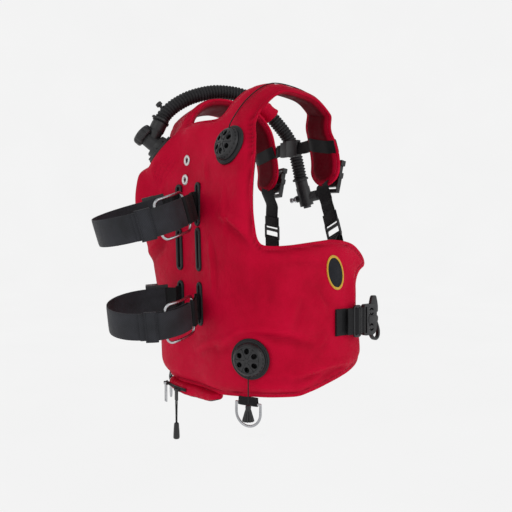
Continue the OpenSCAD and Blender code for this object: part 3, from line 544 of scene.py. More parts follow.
def lathe(name, prof, mat, m=None, body="jacket", n=72, sharp=40):
    """Turns a closed (r, z) outline about local z; outline points on the axis are poles."""
    m = np.eye(4) if m is None else m
    v, rows = [], []
    for r, z in prof:
        if r < 1e-6:
            rows.append([len(v)] * n)
            v.append((0, 0, z))
        else:
            rows.append([len(v) + k for k in range(n)])
            v += [(r * math.cos(2 * math.pi * k / n), r * math.sin(2 * math.pi * k / n), z) for k in range(n)]
    f = []
    pairs = list(zip(rows[:-1], rows[1:]))
    if prof[0][0] > 1e-6 and prof[-1][0] > 1e-6:
        pairs.append((rows[-1], rows[0]))
    for a, b in pairs:
        for k in range(n):
            q = [a[k], a[(k + 1) % n], b[(k + 1) % n], b[k]]
            q2 = []
            for i in q:
                if i not in q2:
                    q2.append(i)
            if len(q2) > 2:
                f.append(q2)
    return outward(mesh_obj(name, put(m, v), f, mat, body, sharp=sharp))


def prism(name, poly, z0, z1, mat, m=None, body="jacket"):
    m = np.eye(4) if m is None else m
    k = len(poly)
    v = [(x, y, z0) for x, y in poly] + [(x, y, z1) for x, y in poly]
    f = [tuple(range(k - 1, -1, -1)), tuple(range(k, 2 * k))] + [(i, (i + 1) % k, k + (i + 1) % k, k + i) for i in range(k)]
    return outward(mesh_obj(name, put(m, v), f, mat, body, smooth=False))


def rounded(w, h, r, n=5):
    out = []
    for cx, cy, a0 in ((w / 2 - r, h / 2 - r, 0), (-w / 2 + r, h / 2 - r, 90), (-w / 2 + r, -h / 2 + r, 180), (w / 2 - r, -h / 2 + r, 270)):
        out += [(cx + r * math.cos(math.radians(a0 + 90 * i / n)), cy + r * math.sin(math.radians(a0 + 90 * i / n))) for i in range(n + 1)]
    return out


def join(name, objs):
    """Several meshes of one body as one piece."""
    bm = bmesh.new()
    mats = []
    for o in objs:
        base = len(bm.faces)
        bm.from_mesh(o.data)
        bm.faces.ensure_lookup_table()
        ids = []
        for m in o.data.materials:
            if m not in mats:
                mats.append(m)
            ids.append(mats.index(m))
        for i in range(base, len(bm.faces)):
            bm.faces[i].material_index = ids[min(bm.faces[i].material_index, len(ids) - 1)]
    keep = objs[0]
    keep.data.materials.clear()
    for m in mats:
        keep.data.materials.append(m)
    bm.to_mesh(keep.data)
    bm.free()
    for o in objs[1:]:
        me = o.data
        bpy.data.objects.remove(o)
        bpy.data.meshes.remove(me)
    keep.name = name
    return keep


# ------------------------------------------------------------------ camera, floor and light
az, el = math.radians(234), math.radians(1.5)
target = Vector((0, 0, 0.270))
cam_dir = Vector((math.cos(el) * math.sin(az), -math.cos(el) * math.cos(az), math.sin(el)))
cd = bpy.data.cameras.new("camera")
cd.sensor_width = 36
cd.lens = 36 * 689 / 512
cam = bpy.data.objects.new("camera", cd)
scene.collection.objects.link(cam)
cam.location = (-1.1605, 0.8432, 0.3076)
cam.rotation_euler = (target - Vector(cam.location)).to_track_quat("-Z", "Y").to_euler()
scene.camera = cam
scene.view_settings.view_transform = "Standard"
scene.view_settings.look = "None"


def floor():
    m, ns, lk = nodes_of("pale_floor")
    b = ns["Principled BSDF"]
    tc = ns.new("ShaderNodeTexCoord")
    nz = ns.new("ShaderNodeTexNoise")
    nz.inputs["Scale"].default_value = 3
    lk.new(tc.outputs["Object"], nz.inputs["Vector"])
    c = ramp(ns, lk, nz.outputs["Fac"], [(0.3, (0.885, 0.885, 0.885)), (0.7, (0.895, 0.895, 0.895))])
    lk.new(c.outputs[0], b.inputs["Emission Color"])
    b.inputs["Base Color"].default_value = (0.01, 0.01, 0.01, 1)
    b.inputs["Specular IOR Level"].default_value = 0.0
    b.inputs["Roughness"].default_value = 0.9
    b.inputs["Emission Strength"].default_value = 1.0
    a = np.radians(np.linspace(0, 360, 97)[:-1])
    rad = [0.02, 0.8, 1.6, 2.4, 3.2]
    zs = [0, 0, 0, 0, 0]
    for k in range(1, 10):
        q = math.radians(10 * k)
        rad.append(3.2 + 0.9 * math.sin(q))
        zs.append(0.9 * (1 - math.cos(q)))
    rad += [4.1, 4.1]
    zs += [2.2, 4.0]
    v, f = [], []
    for r, z in zip(rad, zs):
        v += [(r * 1000 * math.cos(x), r * 1000 * math.sin(x), z * 1000 - 106) for x in a]
    n = len(a)
    for i in range(len(rad) - 1):
        for k in range(n):
            f.append((i * n + k, i * n + (k + 1) % n, (i + 1) * n + (k + 1) % n, (i + 1) * n + k))
    f.append(tuple(range(n)))
    me = bpy.data.meshes.new("floor")
    me.from_pydata((np.array(v) * 0.001).tolist(), [], f)
    me.polygons.foreach_set("use_smooth", np.full(len(me.polygons), True))
    me.materials.append(m)
    o = bpy.data.objects.new("floor", me)
    scene.collection.objects.link(o)


floor()
wd = bpy.data.worlds.new("studio")
scene.world = wd
wd.use_nodes = True
wd.node_tree.nodes["Background"].inputs[0].default_value = (1, 1, 1, 1)
wd.node_tree.nodes["Background"].inputs[1].default_value = 0.42


def light(name, loc, aim, size, power):
    d = bpy.data.lights.new(name, "AREA")
    d.shape = "RECTANGLE"
    d.size, d.size_y = size
    d.energy = power
    o = bpy.data.objects.new(name, d)
    scene.collection.objects.link(o)
    o.location = loc
    o.rotation_euler = (Vector(aim) - Vector(loc)).to_track_quat("-Z", "Y").to_euler()


light("key", (-0.6, 2.2, 2.0), (0, 0, 0.3), (1.3, 1.3), 5.6)
light("side", (-2.3, -0.5, 1.3), (0, 0, 0.3), (1.0, 1.6), 7.2)
light("top", (0.2, 0.3, 2.6), (0, 0, 0.3), (1.6, 1.6), 1.0)

# ------------------------------------------------------------------ cords and hose first
HOSE = catmull([[137, 150, 550], [135.5, 138, 569], [131.5, 115, 590], [125, 79, 610.5], [116, 27, 625.5], [106, -29, 625.5],
                [99, -61, 615], [93, -93, 595.3], [89, -124, 568.6], [87, -151.5, 541.2], [87, -172, 511.8], [87.5, -184, 477.8],
                [88, -194, 442]], 24)
hc = resample(HOSE, 0.5)
hl = lengths(hc)
wavef = 0.5 - 0.5 * np.cos(2 * math.pi * hl / 7.0)
hr = 12.5 + 3.0 * wavef ** 0.6
endf = np.minimum(hl, hl[-1] - hl)
hr = np.where(endf < 8, 15.2, hr)
hose = tube("hose_ribbed", hc, hr, M_RUBBER, n=44)
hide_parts("inflator_hose")

LV = Q(170, 92, 9)
lv_top = LV + np.array([0, 0, -14.0])
lpc = np.array([lv_top + np.array([0, 0, -66.0 * i / 40]) for i in range(41)])
lower_cord = tube("lower_cord", lpc, 1.1 + 0.08 * np.sin(np.arange(41) * 2.1), M_CORD, "lower_pull", n=12)
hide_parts("lower_pull_cord")

SV_A = Q(126, 478, 10)
SV_U = unit(P(126, 486) - P(126, 478))
SP_END = Q(85, 872, 8)


def sp_s(t):
    return 126 - 17 * ease((t - 512) / 50) + 4 * ease((t - 570) / 90) - 28 * ease((t - 680) / 170)


tt = np.arange(554, 843, 24.0)
sp = np.vstack([[SV_A + 24 * SV_U, SV_A + 38 * SV_U], Q(sp_s(tt), tt, 3.2 + 1.4 * ease((tt - 770) / 50)), [SP_END + [0, 0, 14], SP_END]])
spc = resample(catmull(sp, 10), 2.0)
shoulder_cord = tube("shoulder_cord", spc, 1.1, M_CORD, None, n=10)
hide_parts("shoulder_pull_cord")


def knob(name, top, k, body, node):
    """A moulded bell-shaped grip with deep upright flutes."""
    pr = [(0, 1.2), (3.2, 1.2), (4.6, 0.4), (5.1, -1.2), (5.2, -4.2), (4.6, -5.0), (4.9, -6.0), (5.7, -8.0), (6.6, -11.0), (7.5, -14.0), (8.4, -17.0),
          (9.3, -20.0), (10.2, -23.0), (10.9, -25.6), (11.1, -26.8), (10.4, -27.6), (8.6, -27.2), (6.0, -26.6), (0, -26.4)]
    o = lathe(name, [(r * k, z * k) for r, z in pr], M_BLACK, shift(top), body, n=120)
    me = o.data
    co = np.empty(len(me.vertices) * 3)
    me.vertices.foreach_get("co", co)
    co = co.reshape(-1, 3) * 1000 - top
    ang = np.arctan2(co[:, 1], co[:, 0])
    rr = np.hypot(co[:, 0], co[:, 1])
    f = 1 - 0.2 * (0.5 + 0.5 * np.cos(12 * ang)) ** 1.6 * ease((rr / k - 4.7) / 1.6)
    co[:, :2] *= f[:, None]
    me.vertices.foreach_set("co", ((co + top) * 0.001).ravel())
    me.update()
    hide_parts(node)
    return o


k1 = knob("lower_knob", LV + np.array([0, 0, -81.4]), 1.0, "lower_pull", "lower_pull_knob")
k2 = knob("shoulder_knob", SP_END + np.array([0, 0, -1.4]), 0.55, "shoulder_pull", "shoulder_pull_knob")
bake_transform(shoulder_cord)

# ------------------------------------------------------------------ the jacket shell
SLOT_X, SLOT_Z = 36.0, (372.0, 286.0, 182.0)
VALVES = ((170.0, 92.0), (126.0, 478.0))
ELBOW = (-133.0, 499.0)
half = [(0, 12), (80, 12), (168, 20), (224, 21), (262, 22), (308, 32), (346, 42), (386, 52), (420, 62), (440, 71), (449, 84), (449, 100),
        (444, 128), (439, 152), (433, 176), (425, 200), (419, 218), (421, 234), (428, 247), (446, 254), (449, 260), (442, 268), (432, 279), (414, 295),
        (400, 300), (380, 303), (348, 305), (310, 301), (274, 297), (240, 293), (222, 292), (208, 294), (201, 306), (197, 360), (194, 420),
        (188, 470), (170, 510), (154, 545), (150, 580), (150, 700), (150, 800), (150, 912), (147, 924), (138, 935), (126, 942), (112, 944),
        (98, 942), (86, 935), (75, 924), (68, 912), (68, 800), (68, 700), (68, 600), (67, 560), (60, 549), (48, 546), (0, 545.5)]
loop = np.array(half + [(-s, t) for s, t in half[::-1][1:-1]], float)
ring = resample(np.vstack([loop, loop[:1]]), 1.0)[:-1]
for _ in range(3):
    k = np.exp(-0.5 * (np.arange(-9, 10) / 3.2) ** 2)
    k /= k.sum()
    pad = np.vstack([ring[-9:], ring, ring[:9]])
    ring = np.stack([np.convolve(pad[:, i], k, "valid") for i in range(2)], 1)
kd = KDTree(len(ring))
for i, p in enumerate(ring):
    kd.insert((p[0], p[1], 0), i)
kd.balance()


def inside(pts):
    poly = ring[::3]
    x, y = pts[:, 0], pts[:, 1]
    r = np.zeros(len(pts), bool)
    px, py = poly[:, 0], poly[:, 1]
    qx, qy = np.roll(px, -1), np.roll(py, -1)
    for a, b, c, d in zip(px, py, qx, qy):
        if b == d:
            continue
        hit = ((b > y) != (d > y)) & (x < (c - a) * (y - b) / (d - b) + a)
        r ^= hit
    return r


def grid_lines(must, step):
    out = []
    for a, b in zip(must[:-1], must[1:]):
        n = max(1, int(round((b - a) / step)))
        out += list(np.linspace(a, b, n, endpoint=False))
    return np.array(out + [must[-1]])


STEP = 5.0
sl = grid_lines([-456, -41, -31, -24.5, -15.5, 31, 41, 456], STEP)
tl_ = grid_lines([4, 145, 219, 249, 323, 335, 409, 417.5, 426.5, 456.5, 465.5, 950], STEP)
ns_, nt_ = len(sl), len(tl_)
SS, TT = np.meshgrid(sl, tl_, indexing="ij")
pts = np.stack([SS.ravel(), TT.ravel()], 1)
ins = inside(pts)
dist = np.empty(len(pts))
near = np.empty((len(pts), 2))
for i, p in enumerate(pts):
    co, j, dd = kd.find((p[0], p[1], 0))
    dist[i] = dd
    near[i] = co[0], co[1]
sd = np.where(ins, dist, -dist)
hole = np.zeros((ns_ - 1, nt_ - 1), bool)
cs, ct = (sl[:-1] + sl[1:]) / 2, (tl_[:-1] + tl_[1:]) / 2
for z in SLOT_Z:
    for k in (-1, 1):
        hole |= ((np.abs(cs - k * SLOT_X) < 5)[:, None] & (np.abs(ct - z) < 37)[None, :])
for t in (461.0, 422.0):
    hole |= ((np.abs(cs + 20) < 4.5)[:, None] & (np.abs(ct - t) < 4.5)[None, :])
strict = (sd > 0.36 * STEP).reshape(ns_, nt_)
keep = (strict[:-1, :-1] | strict[1:, :-1] | strict[:-1, 1:] | strict[1:, 1:]) & ~hole
used = np.zeros((ns_, nt_), bool)
for di in (0, 1):
    for dj in (0, 1):
        used[di:ns_ - 1 + di, dj:nt_ - 1 + dj] |= keep
snap = used.ravel() & ~strict.ravel()
st = np.where(snap[:, None], near, pts)
d_in = np.where(snap, 0.0, dist)
s_, t_ = st[:, 0], st[:, 1]

# heights of the two faces over the map
T_ = WALL + (STRAP_T - WALL) * ease((t_ - 505) / 85)
fl_w = 8.0 - 1.5 * ease((t_ - 505) / 85)
roll = 27.0 - 10.0 * ease((t_ - 505) / 85)
xx = np.clip((d_in - fl_w) / roll, 0, 1)
bulge = np.sqrt(np.clip(1 - (1 - xx) ** 2, 0, 1))
hm = -T_ / 2 + 7.0 * ease((np.abs(s_) - 215) / 60)
groove = np.exp(-((d_in - fl_w) / 2.2) ** 2)
lift = np.where(d_in < fl_w, 2.3, 2.3) - 0.7 * groove
h_out = hm + lift + (-hm - lift) * bulge
h_in = hm - lift - (T_ + hm - lift) * bulge


def fold(line, amp, width, valley=0.7, side=1.0, soft=0.0):
    """A soft ridge along a line on the map, with a hollow beside it."""
    p = catmull(line, 8)
    best = np.full(len(s_), 1e9)
    off = np.zeros(len(s_))
    par = np.zeros(len(s_))
    l = lengths(p)
    for i in range(len(p) - 1):
        a, b = p[i], p[i + 1]
        e = b - a
        q = np.clip(((s_ - a[0]) * e[0] + (t_ - a[1]) * e[1]) / (e @ e), 0, 1)
        dx, dy = s_ - a[0] - q * e[0], t_ - a[1] - q * e[1]
        dd = np.hypot(dx, dy)
        m = dd < best
        best[m] = dd[m]
        off[m] = (np.sign(e[0] * dy - e[1] * dx) * dd)[m]
        par[m] = ((l[i] + q * (l[i + 1] - l[i])) / l[-1])[m]
    ta = np.sin(math.pi * np.clip(par * 0.92 + 0.04, 0, 1)) ** 0.7
    return amp * ta * (np.exp(-(off / width) ** 2) - valley * np.exp(-((off - side * 1.7 * width) / width) ** 2))


FOLDS = [
    ([(96, 112), (124, 124), (156, 139), (202, 145), (246, 139), (292, 126)], 5.5, 8.0, 0.9, -1.0),
    ([(118, 352), (140, 344), (172, 326), (204, 294)], 5.0, 8.0, 0.8, -1.0),
    ([(76, 306), (84, 260), (84, 208)], 3.0, 6.0, 0.6, 1.0),
    ([(124, 398), (127, 350), (128, 316)], 2.4, 6.0, 0.5, 1.0),
    ([(244, 62), (300, 70), (344, 76), (392, 74)], 5.0, 7.0, 0.9, -1.0),
    ([(270, 44), (318, 60), (352, 66)], 3.0, 5.0, 0.8, -1.0),
    ([(12, 92), (52, 108), (94, 121)], 2.6, 7.0, 0.7, -1.0),
    ([(48, 456), (58, 436), (72, 412)], 2.2, 5.0, 0.6, 1.0),
    ([(404, 246), (400, 210), (404, 176)], 4.0, 9.0, 0.8, 1.0),
    ([(208, 262), (200, 222), (192, 182)], 2.6, 9.0, 0.5, 1.0),
    ([(262, 206), (250, 174), (240, 146)], 2.4, 8.0, 0.5, 1.0),
    ([(230, 272), (280, 276), (334, 268)], 2.2, 7.0, 0.6, -1.0),
    ([(300, 210), (316, 186), (330, 168)], 2.6, 6.0, 0.7, 1.0),
    ([(300, 110), (318, 124), (334, 138)], 2.6, 6.0, 0.7, -1.0),
    ([(120, 590), (124, 640), (118, 690)], 1.6, 6.0, 0.7, 1.0),
    ([(92, 600), (96, 650), (92, 710)], 1.3, 6.0, 0.6, -1.0),
    ([(150, 60), (190, 44), (236, 40)], 2.4, 7.0, 0.6, 1.0),
    ([(-90, 330), (-120, 300), (-190, 270)], 4.0, 9.0, 0.7, 1.0),
    ([(-70, 150), (-130, 130), (-210, 140), (-280, 120)], 4.0, 9.0, 0.7, -1.0),
    ([(-240, 260), (-250, 200), (-236, 150)], 3.0, 8.0, 0.6, 1.0),
    ([(-300, 80), (-350, 90), (-420, 96)], 3.5, 8.0, 0.7, 1.0),
    ([(-110, 420), (-100, 380), (-104, 330)], 2.2, 7.0, 0.6, 1.0),
]
mask = ease((d_in - fl_w) / 12.0)
for z in SLOT_Z:
    for k in (-1, 1):
        q = np.hypot(np.maximum(0, np.abs(s_ - k * SLOT_X) - 5), np.maximum(0, np.abs(t_ - z) - 37))
        mask *= 0.0 + 1.0 * ease((q - 8) / 18)
for vs, vt in VALVES + (ELBOW,):
    mask *= ease((np.hypot(s_ - vs, t_ - vt) - 36) / 22)
for gt in (461.0, 422.0):
    mask *= ease((np.hypot(s_ + 20, t_ - gt) - 9) / 14)
for k in (-1, 1):
    mask *= 1 - (1 - ease((np.abs(t_ - 151) - 27) / 16)) * (1 - ease((np.abs(s_ - k * 352) - 22) / 20))
mask *= 1 - (1 - ease((np.hypot((s_ - 348) / 20, (t_ - 244) / 32) - 1.1) / 0.5))
wr = np.zeros(len(s_))
for f in FOLDS:
    wr += fold(*f)
wr *= 1.45
h_out = h_out + wr * mask
h_in = h_in - 0.25 * wr * mask
for vs, vt in VALVES:
    r = np.hypot(s_ - vs, t_ - vt)
    h_out = np.where(r < 25.5, -29.0, np.where(r < 36, np.minimum(h_out, -1.5), h_out))
r = np.hypot(s_ - ELBOW[0], t_ - ELBOW[1])
h_out = np.where(r < 33, np.minimum(h_out, -3.0), h_out)

vo = Q(s_, t_, h_out)
# the cloth is drawn flat against the elbow's base
SEAT = pose(Q(-133.0, 499.0, 0.0), unit([0.4, 0.66, 0.64]), (-1, 0, 0))
lc = (np.column_stack([vo, np.ones(len(vo))]) @ np.linalg.inv(SEAT).T)[:, :3]
wl = (1 - ease((np.hypot(lc[:, 0], lc[:, 1]) - 37) / 42)) * (np.abs(lc[:, 2]) < 45)
lc[:, 2] += (-2.5 - lc[:, 2]) * wl
vo = (np.column_stack([lc, np.ones(len(lc))]) @ SEAT.T)[:, :3]
vi = Q(s_, t_, h_in)
idx_o = np.full(ns_ * nt_, -1)
uidx = np.nonzero(used.ravel())[0]
idx_o[uidx] = np.arange(len(uidx))
nv = len(uidx)
V = np.vstack([vo[uidx], vi[uidx]])
gi = idx_o.reshape(ns_, nt_)
faces, fidx = [], []
kc = np.argwhere(keep)
rim = {}
for i, j in kc:
    a, b, c, d = gi[i, j], gi[i + 1, j], gi[i + 1, j + 1], gi[i, j + 1]
    faces.append((a, b, c, d))
    fidx.append(0)
    faces.append((nv + d, nv + c, nv + b, nv + a))
    fidx.append(0)
    for e in ((a, b), (b, c), (c, d), (d, a)):
        if (e[1], e[0]) in rim:
            del rim[(e[1], e[0])]
        else:
            rim[e] = 1
for a, b in rim:
    faces.append((b, a, nv + a, nv + b))
    fidx.append(0)
# painted shade on the outer cloth: darker along the seam's groove and in the hollows beside the folds; a painted
# highlight on the fold ridges; lighter along the very edge
crease = (wr * mask)[uidx]
shade_o = 1.0 - 0.36 * groove[uidx] + 0.10 * (1 - ease((d_in[uidx] - 1) / 5)) - 0.2 * np.clip(-crease / 4.0, 0, 1) + 0.05 * np.clip(crease / 6.0, 0, 1)
UV = np.vstack([st[uidx], st[uidx]])
# the inside is a darker cloth, up to the hem; painted shade also darkens it along the seam's groove
shade_i = (1.0 - 0.36 * groove[uidx]) * (1 - 0.77 * ease((d_in[uidx] - fl_w[uidx] - 1) / 5))
shell = mesh_obj("jacket_shell", V, faces, [M_RED], "jacket", UV, fidx, shade=np.concatenate([shade_o, shade_i]))
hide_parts("jacket_back", "right_lobe", "left_lobe", "right_shoulder_strap", "left_shoulder_strap")


def puff(o, pin, pressure, slack, frames, cap, tension=12.0, bend=0.15):
    """Blows a closed pad up a little with cloth simulation, its seams held, and keeps the result."""
    n = len(o.data.vertices)
    rest = np.empty(n * 3)
    o.data.vertices.foreach_get("co", rest)
    rest = rest.reshape(-1, 3)
    vg = o.vertex_groups.new(name="pin")
    lv = np.round(pin * 20).astype(int)
    for w in range(1, 21):
        ids = np.nonzero(lv == w)[0]
        if len(ids):
            vg.add(ids.tolist(), w / 20, "REPLACE")
    m = o.modifiers.new("cloth", "CLOTH")
    c = m.settings
    c.quality = 4
    c.mass = 0.25
    c.tension_stiffness = tension
    c.compression_stiffness = tension
    c.shear_stiffness = tension * 0.4
    c.bending_stiffness = bend
    c.tension_damping = 8
    c.compression_damping = 8
    c.air_damping = 2
    c.use_pressure = True
    c.uniform_pressure_force = pressure
    c.shrink_min = -slack
    c.vertex_group_mass = "pin"
    c.effector_weights.gravity = 0
    m.collision_settings.use_collision = False
    m.collision_settings.use_self_collision = False
    m.point_cache.frame_start = 1
    m.point_cache.frame_end = frames + 2
    scene.frame_start = 1
    scene.frame_end = frames + 2
    for f in range(1, frames + 1):
        scene.frame_set(f)
    dg = bpy.context.evaluated_depsgraph_get()
    ev = o.evaluated_get(dg)
    co = np.empty(n * 3)
    ev.data.vertices.foreach_get("co", co)
    co = co.reshape(-1, 3)
    o.modifiers.remove(m)
    o.vertex_groups.remove(vg)
    scene.frame_set(1)
    d = co - rest
    l = np.linalg.norm(d, axis=1, keepdims=True)
    d *= np.minimum(1, cap * 0.001 / np.maximum(l, 1e-9))
    d[~np.isfinite(d).all(1)] = 0
    o.data.vertices.foreach_set("co", (rest + d).ravel())
    o.data.update()
    return float(l.max() * 1000), float(np.median(l) * 1000)


free = mask[uidx]
pin_w = 1 - free
print("puff", puff(shell, np.concatenate([pin_w, np.maximum(pin_w, 0.2)]), 1.5, 0.035, 16, 7.0))

shell_bvh = BVHTree.FromPolygons([v.co.copy() for v in shell.data.vertices], [tuple(p.vertices) for p in shell.data.polygons])


def drop(p, n, reach=40.0):
    """The point of the shell under p, looking against n; p and the answer in mm."""
    o = Vector(np.asarray(p) * 0.001)
    d = Vector(np.asarray(n))
    hit = shell_bvh.ray_cast(o + d * reach * 0.001, -d, 2 * reach * 0.001)
    return np.array(hit[0]) * 1000 if hit[0] is not None else np.asarray(p, float)


# ------------------------------------------------------------------ tank bands
UP_R, LO_R, RING_L = 85.5, 76.0, 72.0
UP_D, LO_D = UP_R + 19, LO_R + 14
UP_M = shift((0, 262.238, 340.75)) @ rot("X", -17.4)
LO_M = shift((0, 246.066, 166.372)) @ rot("X", -10) @ rot("Y", -8)


def tan_line(r, d):
    l = math.hypot(SLOT_X, d)
    return math.sqrt(l * l - r * r), math.atan2(d, SLOT_X) - math.acos(r / l)


def on_line(r, d, k, a, q):
    l0, b = tan_line(r, d)
    o = np.array([k * math.cos(b), -math.sin(b)])
    e = np.array([k * math.sin(b), math.cos(b)])
    return r * o + (a - l0) * e + q * o


def smooth_path(p, step, n=8):
    return resample(catmull(p, n), step)


def flat(m, p2, z=0.0):
    p2 = np.asarray(p2)
    return put(m, np.column_stack([p2, np.full(len(p2), z)]))


def ring_end(r, d, ring_a):
    """Angle of the ring's far bar, which rests on the loop."""
    p = on_line(r, d, -1, ring_a, 5.3)
    n, q = np.linalg.norm(p), r + 5.3
    return 2 * math.pi + math.atan2(p[1], p[0]) - math.acos((n * n + q * q - RING_L * RING_L) / (2 * n * q))


def tail_pt(r, d, ring_a, tail, u, o):
    """The folded tail past the ring: u runs from just past the bar to its end, o is the height over its middle."""
    ta = ring_end(r, d, ring_a) - math.radians(4)
    q = ta + (math.radians(tail) - ta) * u
    return (r + 4 + o + 5.3 * (1 - float(ease(u * 1.25)))) * np.array([math.cos(q), math.sin(q)])


def band(tag, r, d, m, ring_a, tail, node):
    l0, b = tan_line(r, d)
    fold_a = ring_a + 17
    rc = r + 1.2
    over = max(16.0, fold_a - l0 + 9)
    a_end = math.pi + b - over / rc
    arc = [(rc * math.cos(a), rc * math.sin(a)) for a in np.linspace(-b, a_end, 90)]
    path = [on_line(r, d, 1, a, 1.2) for a in np.linspace(30, l0 - 1, 6)] + arc
    path += [on_line(r, d, -1, fold_a + 1.5, 1.2)]
    path += [on_line(r, d, -1, fold_a - 4.05 * math.sin(a), 5.25 - 4.05 * math.cos(a)) for a in np.linspace(0.25, math.pi, 8)]
    t0, t1 = math.pi + b - (max(0.0, fold_a - l0) + 9) / r, ring_end(r, d, ring_a) - math.radians(4)
    path += [((r + 9.3) * math.cos(q), (r + 9.3) * math.sin(q)) for q in t0 + (t1 - t0) * np.linspace(0, 1, 7)[1:]]
    path += [tail_pt(r, d, ring_a, tail, k / 14, 0) for k in range(1, 15)]
    c = resample(catmull(path, 4), 2.2)
    w = put(m, [[0, 0, 1]])[0] - m[:3, 3]
    o = ribbon(tag + "_band", flat(m, c), w, 50.0, 2.3, M_CHAR, n=13)
    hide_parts(node)
    return c


band("upper", UP_R, UP_D, UP_M, 60, 144, "upper_band_strap")
band("lower", LO_R, LO_D, LO_M, 40, 138, "lower_band_strap")


def bent_ring(name, r, d, m, ring_a, node):
    """A round wire ring with rounded corners, bent to the loop."""
    l0, b = tan_line(r, d)
    side = [on_line(r, d, -1, a, 5.3) for a in np.linspace(ring_a, l0, 4)[:-1]]
    side += [(r + 5.3) * np.array([math.cos(q), math.sin(q)]) for q in np.linspace(math.pi + b, ring_end(r, d, ring_a), 15)]
    side = resample(side, 1.0)
    l = lengths(side)
    loop = np.array(rounded(l[-1], 72.0, 12.0, 10))
    loop = np.roll(loop, -int(np.argmin(np.abs(loop[:, 0] + l[-1] / 2) + 0.001 * np.abs(loop[:, 1]))), 0)
    loop = resample(np.vstack([loop, loop[:1]]), 1.6)
    q = np.clip(loop[:, 0] + l[-1] / 2, 0, l[-1])
    p3 = np.column_stack([np.interp(q, l, side[:, 0]), np.interp(q, l, side[:, 1]), loop[:, 1]])
    o = tube(name, put(m, p3), 2.5, M_STEEL, n=20)
    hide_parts(node)


bent_ring("upper_wire_ring", UP_R, UP_D, UP_M, 60, "upper_band_ring")
bent_ring("lower_wire_ring", LO_R, LO_D, LO_M, 40, "lower_band_ring")


def stitch_mesh(name, pts, dirs, ups, mat, length=3.0, rad=0.42, body="jacket"):
    """Short sewn threads, each a small spindle."""
    pts, dirs, ups = np.asarray(pts), unit(dirs), unit(ups)
    side = unit(np.cross(dirs, ups))
    v, f = [], []
    for p, d, u, s in zip(pts, dirs, ups, side):
        b = len(v)
        v.append(p - d * length / 2 - u * rad)
        for q in (-0.28, 0.28):
            for k in range(4):
                a = math.pi / 2 * k
                v.append(p + d * length * q + u * rad * (0.4 + math.sin(a)) + s * rad * math.cos(a))
        v.append(p + d * length / 2 - u * rad)
        for k in range(4):
            k2 = (k + 1) % 4
            f += [(b, b + 1 + k, b + 1 + k2), (b + 1 + k, b + 5 + k, b + 5 + k2, b + 1 + k2), (b + 9, b + 5 + k2, b + 5 + k)]
    return outward(mesh_obj(name, np.array(v), f, mat, body))


parts = []
for tag, r, d, m, ring_a, y1 in (("u", UP_R, UP_D, UP_M, 60, 2), ("l", LO_R, LO_D, LO_M, 40, 9.4)):
    w = m[:3, 2]
    yb = y1 - d
    q = 4.1
    near = [(-SLOT_X + 1.3, yb), (-SLOT_X + 1.2, 10.5 - d), on_line(r, d, -1, 26, 1.5), on_line(r, d, -1, ring_a - 9, 1.6)]
    near += [on_line(r, d, -1, ring_a + q * math.sin(a), 5.3 - q * math.cos(a)) for a in np.linspace(0.1, math.pi - 0.1, 9)]
    near += [on_line(r, d, -1, ring_a - 9, 8.0), on_line(r, d, -1, 26, 5.2), (-SLOT_X - 1.5, 9.5 - d), (-SLOT_X - 1.3, yb)]
    parts.append(ribbon("anchor_" + tag, flat(m, smooth_path(near, 1.6)), w, 50.0, 2.1, M_WEB, n=13))
    far = [(SLOT_X, yb), (SLOT_X + 0.5, 10.5 - d), on_line(r, d, 1, 24, 1.2), on_line(r, d, 1, 29.6, 1.2)]
    parts.append(ribbon("anchor_far_" + tag, flat(m, smooth_path(far, 1.6)), w, 50.0, 2.2, M_WEB, n=13))
for k in (-1, 1):
    for z, y, lift_ in ((SLOT_Z[0] - 2, None, 8.0), (SLOT_Z[2] + k * SLOT_X * math.sin(math.radians(8)), None, 13.0)):
        y0 = P(-k * SLOT_X, z)[1]
        c = np.array([[k * SLOT_X, q, z] for q in np.linspace(116.6, y0 + lift_, 12)])
        parts.append(ribbon("anchor_through", c, (0, 0, 1), 50.0, 4.2, M_WEB, n=9))
# rows of stitches across each anchor, just in front of the ring
for tag, r, d, m, ring_a in (("u", UP_R, UP_D, UP_M, 60), ("l", LO_R, LO_D, LO_M, 40)):
    pts, dirs, ups = [], [], []
    l0, b = tan_line(r, d)
    on = m[:3, :3] @ np.array([-math.cos(b), -math.sin(b), 0])
    for a in (ring_a - 13, ring_a - 16):
        for z in np.arange(-21, 21.1, 3.4):
            p2 = on_line(r, d, -1, a, 8.9)
            pts.append(put(m, [[p2[0], p2[1], z]])[0])
            dirs.append(m[:3, 2])
            ups.append(on)
    parts.append(stitch_mesh("anchor_thread_" + tag, pts, dirs, ups, M_WEB, 2.4, 0.4))
o = join("anchors", parts)
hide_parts("band_anchors")

parts = []
for tag, r, d, m, ring_a, tail, u0, u1 in (("u", UP_R, UP_D, UP_M, 60, 144, 0.12, 0.82), ("l", LO_R, LO_D, LO_M, 40, 138, 0.25, 0.76)):
    w = m[:3, 2]
    us = np.linspace(u0, u1, 16)
    c2 = np.array([tail_pt(r, d, ring_a, tail, u, 3.0) for u in us])
    parts.append(ribbon("keeper_" + tag, flat(m, c2), w, 55.0, 1.7, M_CHAR, n=13))
    # turned-in ends above and below the tail, and two sewn ridges along the keeper
    for z in (-27.4, 27.4):
        e2 = np.array([tail_pt(r, d, ring_a, tail, u, 0.6) for u in us])
        parts.append(ribbon("keeper_side_" + tag, flat(m, e2, z), m[:3, :3] @ np.array([*unit(c2.mean(0)), 0]), 5.6, 1.5, M_CHAR, n=7))
    for u in (u0 + 0.06, u1 - 0.06):
        q = tail_pt(r, d, ring_a, tail, u, 4.0)
        c = np.array([put(m, [[q[0], q[1], z]])[0] for z in np.linspace(-26.5, 26.5, 24)])
        parts.append(tube("keeper_ridge_" + tag, c, 0.75, M_CHAR, n=8))
o = join("keepers", parts)
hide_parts("band_keepers")

